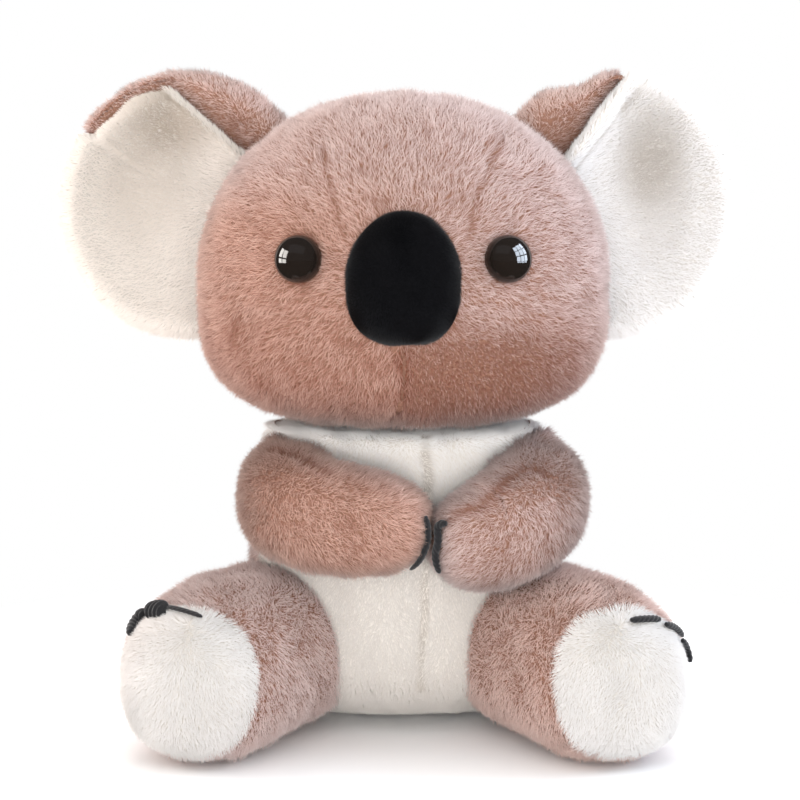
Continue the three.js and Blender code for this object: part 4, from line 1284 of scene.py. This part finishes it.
class EarCloth:
    """One ear's cloth: where its lining and its back show and how their pile lies, each a function of
    points in mm."""

    def __init__(self, side):
        self.side, self.look = side, look_of(side)
        self.centre = np.array([side * EAR["out"] - EAR["shift"], EAR["back"], EAR["height"]])
        out, up = EAR["root"]
        self.root = self.centre + np.array([side * out, 0, up])

    def out_from_root(self, points, normals):
        return unit(points - self.root) + 0.4 * unit(points - self.centre)

    def polar(self, points):
        """The angle round the ear and the distance from its middle."""
        across = self.side * (points[:, 0] - self.centre[0])
        up = (points[:, 2] - self.centre[2]) * EAR["radius"] / EAR["half_height"]
        return np.arctan2(up, across), np.hypot(across, up)

    def beside_fold(self, points):
        """How far inside the fold's straight edge each point lies, as a share of the roll beside it,
        and how much the roll shows at that angle."""
        angle, out = self.polar(points)
        gap = self.look["edge_reach"] - out * np.cos(angle - math.radians(self.look["edge_at"]))
        degrees, start = np.degrees(angle) % 360, self.look["brown_from"]
        shows = smooth(degrees, start - 20, start + 5) * (1 - smooth(degrees, 205, 225))
        return gap / self.look["roll"], shows * (points[:, 1] < EAR["back"])

    def roll(self, points):
        """The lining's edge is rolled beside the fold, and dips where the roll ends."""
        dip_width, dip_place, dip_depth = 1.8, 0.7, 1.2
        place, shows = self.beside_fold(points)
        bulge = np.sqrt(np.clip(4 * place * (1 - place), 0, 1))
        dip = np.exp(-((place - 1) * self.look["roll"] / dip_width - dip_place) ** 2)
        return shows * (self.look["roll_height"] * bulge - dip_depth * dip)

    def free(self, points):
        return ~inside_head(points, 5)

    def white(self, points):
        """The lining's pile, also behind the rim where the lining covers it."""
        rim_width = 3.5
        angle, out = self.polar(points)
        rim = (brown_over(self.side, angle) > 0.5) & (out > ear_seam(self.side, angle) - rim_width)
        return self.free(points) & ~(rim & (points[:, 1] > EAR["back"] + 0.5))

    def behind(self, points):
        """The back's pile, also in front of the rim where the brown shows over it."""
        brown = brown_over(self.side, self.polar(points)[0]) > 0.5
        return self.free(points) & (brown | (points[:, 1] > EAR["back"] + 6))

    def hollow(self, points):
        """Painted shade: the cup is darker and tan in soft spots, and in a thin line beside the roll."""
        line_width, line_place, line_shade = 1.5, 0.6, 0.4
        place, shows = self.beside_fold(points)
        total = line_shade * shows * np.exp(-((place - 1) * self.look["roll"] / line_width - line_place) ** 2)
        for out, high, width, height, tone in self.look["hollows"]:
            across = (self.side * (points[:, 0] - self.centre[0]) - out) / width
            up = (points[:, 2] - self.centre[2] - high) / height
            total += tone * np.exp(-(across ** 2 + up ** 2) ** 1.5) * smooth(place, 0.8, 1.2)
        return -np.minimum(total, 1)

    def overhang(self, points):
        """Longer strands at the rim, except where the brown back folds over it or starts to."""
        rim_from, longer, under_back, before_back, before, spread = 0.86, 0.1, 0.35, 0.45, 8, 14
        angle, out = self.polar(points)
        near = np.exp(-((np.degrees(angle) % 360 - self.look["brown_from"] + before) / spread) ** 2)
        return (1 + smooth(out / ear_seam(self.side, angle), rim_from, 1)
                * (longer - under_back * brown_over(self.side, angle) - before_back * near))

    def crease(self, points):
        """Painted light and shade: the fold is a little paler all over and darker beside its edge, near the head."""
        paler, darker, width = 0.1, 0.55, 12
        angle, out = self.polar(points)
        beside_edge = 1 - smooth(out - ear_seam(self.side, angle), 0, width)
        return paler - darker * beside_edge * smooth(np.degrees(angle) % 360, 80, 150)

    def band(self, points):
        """Shorter strands on the narrow band above the fold's corner."""
        shorter, reach_back = 0.12, 9
        degrees = np.degrees(self.polar(points)[0]) % 360
        return (1 - shorter * (1 - smooth(degrees, self.look["brown_from"] + 20, 110))
                * (points[:, 1] < EAR["back"] + reach_back))


class KOALA_OT_ears(bpy.types.Operator):
    """Sew both ears: a cupped white lining on a stuffed brown back"""
    bl_idname = "koala.ears"
    bl_label = "Ears"

    def execute(self, context):
        plush = context.scene.koala_plush
        for name, side in SIDES.items():
            body, cloth = f"ear_{name}", EarCloth(side)
            lining, back = lining_form(side), ear_back_form(side)
            shell = skin(f"ear_back_skin_{name}", back, body, material(BROWN_BACKING), "brown_plush",
                         *GRIDS["ear"], 1.2)
            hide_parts(f"ear_back_{name}")
            cup = skin(f"ear_lining_skin_{name}", lining, body, material(WHITE_BACKING), "white_plush",
                       *GRIDS["ear"], WHITE_CLOTH["ear"], plush.plump / MM, relief=cloth.roll, until=EAR["lining_back"])
            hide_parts(f"ear_lining_{name}")
            # The lining's pile gets painted shade in its cup and painted warmth.
            pile(f"ear_lining_pile_{name}", lining, (0, EAR["lining_back"], 0, 1), body, material(WHITE),
                 "white_plush", cloth.out_from_root, cloth.white, plush, 50 + side, plush.white_length * 0.9,
                 "cupped", density=1.3, width=0.95, lift=0.7, inset=WHITE_CLOTH["strands"], tint=cloth.hollow,
                 shorten=cloth.overhang, facing=(0, -1.6, 0), relief=cloth.roll,
                 warm=even(cloth.look["warm"]))
            # The back's pile gets painted light and shade by the fold and painted warmth.
            pile(f"ear_back_pile_{name}", back, (EAR["back_front"], 1, 0, 1), body, material(BROWN),
                 "brown_plush", cloth.out_from_root, cloth.behind, plush, 55 + side, plush.length * 0.9,
                 inset=1.6, tint=cloth.crease, shorten=cloth.band, density=0.95, warm=even(0.3))
        return {"FINISHED"}


class KOALA_OT_nose(bpy.types.Operator):
    """Cover the nose in short black velvet"""
    bl_idname = "koala.nose"
    bl_label = "Nose"

    def execute(self, context):
        face, plush = context.scene.koala_face, context.scene.koala_plush
        cover = skin("nose_skin", nose_form, "head", material(VELVET_GROUND), "black_velvet",
                     *GRIDS["nose"], 0.4)
        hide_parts("nose")
        pile("nose_pile", nose_form, (0, 1, 0.5, 1.0), "head", material(VELVET), "black_velvet",
             lambda points, normals: stack(even(0.1)(points), 0, -1.0),
             lambda points: ~inside_head(points, 2), plush, 60, face.nap, "velvet", density=4.0, width=0.7,
             lift=1.5, inset=0.5)
        return {"FINISHED"}


def button_form(side):
    """An eye: a dome on a short rim, with a flat underside, turned about the way that the eye looks."""
    flat, rim = 0.25, 0.35
    place, look = face_frame(side)
    level = unit(np.cross((0, 0, 1), look))
    upright = np.cross(look, level)
    base = place - look * EYE["sink"]
    radius = EYE["diameter"] / 2

    def form(share, turn):
        dome = np.clip((share - rim) / (1 - rim), 0, 1) * math.pi / 2
        out = np.where(share < flat, radius * share / flat, radius * np.cos(dome))
        up = np.where(share < rim, EYE["rim"] * np.clip((share - flat) / (rim - flat), 0, 1),
                      EYE["rim"] + EYE["dome"] * np.sin(dome))
        angle = TURN * turn
        return (base + level * (out * np.cos(angle))[..., None] + upright * (out * np.sin(angle))[..., None]
                + look * up[..., None])
    return form


class KOALA_OT_eyes(bpy.types.Operator):
    """Set the domed button eyes"""
    bl_idname = "koala.eyes"
    bl_label = "Eyes"

    def execute(self, context):
        face = context.scene.koala_face
        for name, side in SIDES.items():
            eye = skin(f"eye_button_{name}", button_form(side), "head", material(ACRYLIC), "eye_plastic",
                       face.eye_steps, 64)
            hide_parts(f"eye_{name}")
            for node in bpy.context.scene.objects:
                if node.name == f"eye_washer_{name}":
                    node.data.materials.clear()
                    node.data.materials.append(material(POLYPROPYLENE))
        return {"FINISHED"}


def add_floor(scene):
    """The paper sheet: a fan of triangles round the toy, and rings of them further out."""
    rings, sides = FLOOR["rings"], FLOOR["sides"]
    angle, ring = np.meshgrid(np.arange(sides) / sides * TURN, np.array(rings), indexing="xy")
    rim = stack(ring * np.cos(angle), ring * np.sin(angle), 0 * ring).reshape(-1, 3) / MM
    points = np.vstack([[0, 0, 0], rim])
    step = np.arange(sides)
    onward = (step + 1) % sides
    faces = [np.stack([np.zeros(sides, int), 1 + step, 1 + onward], -1)]
    for k in range(len(rings) - 1):
        a, b = 1 + k * sides + step, 1 + k * sides + onward
        faces += [np.stack([a, a + sides, b + sides], -1), np.stack([a, b + sides, b], -1)]
    floor = bpy.data.objects.new("floor", fill_mesh("floor", points, np.vstack(faces)))
    scene.collection.objects.link(floor)
    floor.data.materials.append(material(PAPER))


def add_world(scene, stage):
    """Soft light from all around, a dim room in reflections, and white to the camera."""
    world = bpy.data.worlds.new("Studio")
    scene.world = world
    world.use_nodes = True
    tree = world.node_tree
    tree.nodes.clear()
    output = add_node(tree, "ShaderNodeOutputWorld")
    path = add_node(tree, "ShaderNodeLightPath")
    soft, mirrored, seen = (
        add_node(tree, "ShaderNodeBackground", {"Color": (1, 1, 1, 1), "Strength": strength})
        for strength in (stage.world, stage.mirrored, 1.0))
    inner = add_node(tree, "ShaderNodeMixShader", {}, {0: path.outputs["Is Glossy Ray"], 1: soft.outputs[0],
                                                      2: mirrored.outputs[0]})
    outer = add_node(tree, "ShaderNodeMixShader", {}, {0: path.outputs["Is Camera Ray"], 1: inner.outputs[0],
                                                      2: seen.outputs[0]})
    tree.links.new(outer.outputs[0], output.inputs[0])


def add_lamp(name, place, wide, high, power, colour):
    """A rectangular lamp that points at the toy."""
    data = bpy.data.lights.new(name, "AREA")
    data.shape, data.size, data.size_y = "RECTANGLE", wide, high
    data.energy, data.color = power, linear(colour)
    lamp = bpy.data.objects.new(name, data)
    lamp.location = place
    lamp.rotation_euler = (Vector(AIM) - Vector(place)).to_track_quat("-Z", "Y").to_euler()
    bpy.context.scene.collection.objects.link(lamp)
    return lamp


def receivers_of(name, pieces):
    """A collection of the pieces that a lamp reaches."""
    receivers = bpy.data.collections.new(f"{name}_receivers")
    for piece in pieces:
        receivers.objects.link(bpy.data.objects[piece])
    return receivers


def add_windows():
    """The windows that the eyes mirror, each pane a lamp."""
    for name, (place, wide, high, columns, rows, power, colour) in WINDOWS.items():
        receivers = receivers_of(f"{name}_window", [f"eye_button_{name}"])
        middle, aim = Vector(place), Vector(AIM)
        across = (aim - middle).cross(Vector((0, 0, 1))).normalized()
        upright = across.cross(aim - middle).normalized()
        for k in range(columns * rows):
            x, z = (k % columns + 0.5) / columns - 0.5, (k // columns + 0.5) / rows - 0.5
            pane = add_lamp(f"{name}_window_{k + 1}", middle + across * x * wide + upright * z * high,
                            PANE_SHARE * wide / columns, PANE_SHARE * high / rows,
                            power / columns / rows, colour)
            pane.visible_diffuse = False
            pane.light_linking.receiver_collection = receivers


def add_camera(scene, stage):
    """The camera, as far off and as high as the photograph's was."""
    pixel = PHOTO["pixel"] * MM
    camera = bpy.data.cameras.new("camera")
    camera.sensor_width = PHOTO["sensor"]
    camera.lens = PHOTO["sensor"] * (stage.distance / pixel) / PHOTO["width"]
    holder = bpy.data.objects.new("camera", camera)
    ahead = Vector((0, math.cos(stage.elevation), -math.sin(stage.elevation)))
    holder.location = Vector((PHOTO["shift"] * pixel, 0, SIGHT_HEIGHT)) - ahead * stage.distance
    holder.rotation_euler = ahead.to_track_quat("-Z", "Y").to_euler()
    scene.collection.objects.link(holder)
    scene.camera = holder


class KOALA_OT_stage(bpy.types.Operator):
    """Set the floor, the lamps and the camera"""
    bl_idname = "koala.stage"
    bl_label = "Stage"

    def execute(self, context):
        scene, stage = context.scene, context.scene.koala_stage
        scene.view_settings.view_transform = "Standard"
        add_floor(scene)
        add_world(scene, stage)
        for name, (place, wide, high, setting, share, colour) in LAMPS.items():
            add_lamp(name, place, wide, high, getattr(stage, setting) * share, colour).visible_glossy = False
        for name, (pieces, *lamp) in GLOWS.items():
            glow = add_lamp(name, *lamp)
            glow.visible_glossy = False
            glow.light_linking.receiver_collection = receivers_of(name, pieces)
        add_lamp("ceiling", *CEILING).visible_diffuse = False
        add_windows()
        add_camera(scene, stage)
        return {"FINISHED"}


def floor_material():
    """White paper sweep: matt, and plain white to the camera beyond the toy's own shadow. In
    reflections it's dark, as a toy's eyes show the room and not the sheet that it sits on."""
    fade_from, fade_to = 0.14, 0.3
    tree, output = new_material(PAPER)
    place = add_node(tree, "ShaderNodeTexCoord")
    away = add_node(tree, "ShaderNodeVectorMath", {"operation": "LENGTH"}, {0: place.outputs["Object"]})
    fade = add_node(tree, "ShaderNodeMapRange", {1: fade_from, 2: fade_to}, {0: away.outputs["Value"]})
    path = add_node(tree, "ShaderNodeLightPath")
    share = add_node(tree, "ShaderNodeMath", {"operation": "MULTIPLY"},
                     {0: path.outputs["Is Camera Ray"], 1: fade.outputs[0]})
    shade = add_node(tree, "ShaderNodeMix", {"data_type": "RGBA", 6: solid(linear("#FAFAFA")),
                                             7: solid(linear("#2A2724"))}, {0: path.outputs["Is Glossy Ray"]})
    paper = add_node(tree, "ShaderNodeBsdfDiffuse", {}, {"Color": shade.outputs[2]})
    white = add_node(tree, "ShaderNodeEmission", {"Color": (1, 1, 1, 1), "Strength": 1.0})
    mixed = add_node(tree, "ShaderNodeMixShader", {},
                     {0: share.outputs[0], 1: paper.outputs[0], 2: white.outputs[0]})
    tree.links.new(mixed.outputs[0], output.inputs[0])


class KOALA_PT_panel(bpy.types.Panel):
    """Lists the koala's pieces"""
    bl_idname = "KOALA_PT_panel"
    bl_label = "Plush koala"
    bl_space_type = "VIEW_3D"
    bl_region_type = "UI"
    bl_category = "Koala"

    def draw(self, context):
        for group in (context.scene.koala_plush, context.scene.koala_face, context.scene.koala_stage):
            for name in group.__annotations__:
                self.layout.prop(group, name)
        for operator in OPERATORS:
            self.layout.operator(operator.bl_idname)


GROUPS = (PlushSettings, FaceSettings, StageSettings)
OPERATORS = (KOALA_OT_materials, KOALA_OT_head, KOALA_OT_torso, KOALA_OT_arms, KOALA_OT_legs, KOALA_OT_ears,
             KOALA_OT_nose, KOALA_OT_eyes, KOALA_OT_stage)


def register():
    for made in (*GROUPS, *OPERATORS, KOALA_PT_panel):
        bpy.utils.register_class(made)
    bpy.types.Scene.koala_plush = PointerProperty(type=PlushSettings)
    bpy.types.Scene.koala_face = PointerProperty(type=FaceSettings)
    bpy.types.Scene.koala_stage = PointerProperty(type=StageSettings)


def unregister():
    for name in ("koala_plush", "koala_face", "koala_stage"):
        delattr(bpy.types.Scene, name)
    for made in reversed((*GROUPS, *OPERATORS, KOALA_PT_panel)):
        bpy.utils.unregister_class(made)


def main():
    register()
    for operator in OPERATORS:
        group, name = operator.bl_idname.split(".")
        getattr(getattr(bpy.ops, group), name)()


if __name__ == "__main__":
    main()
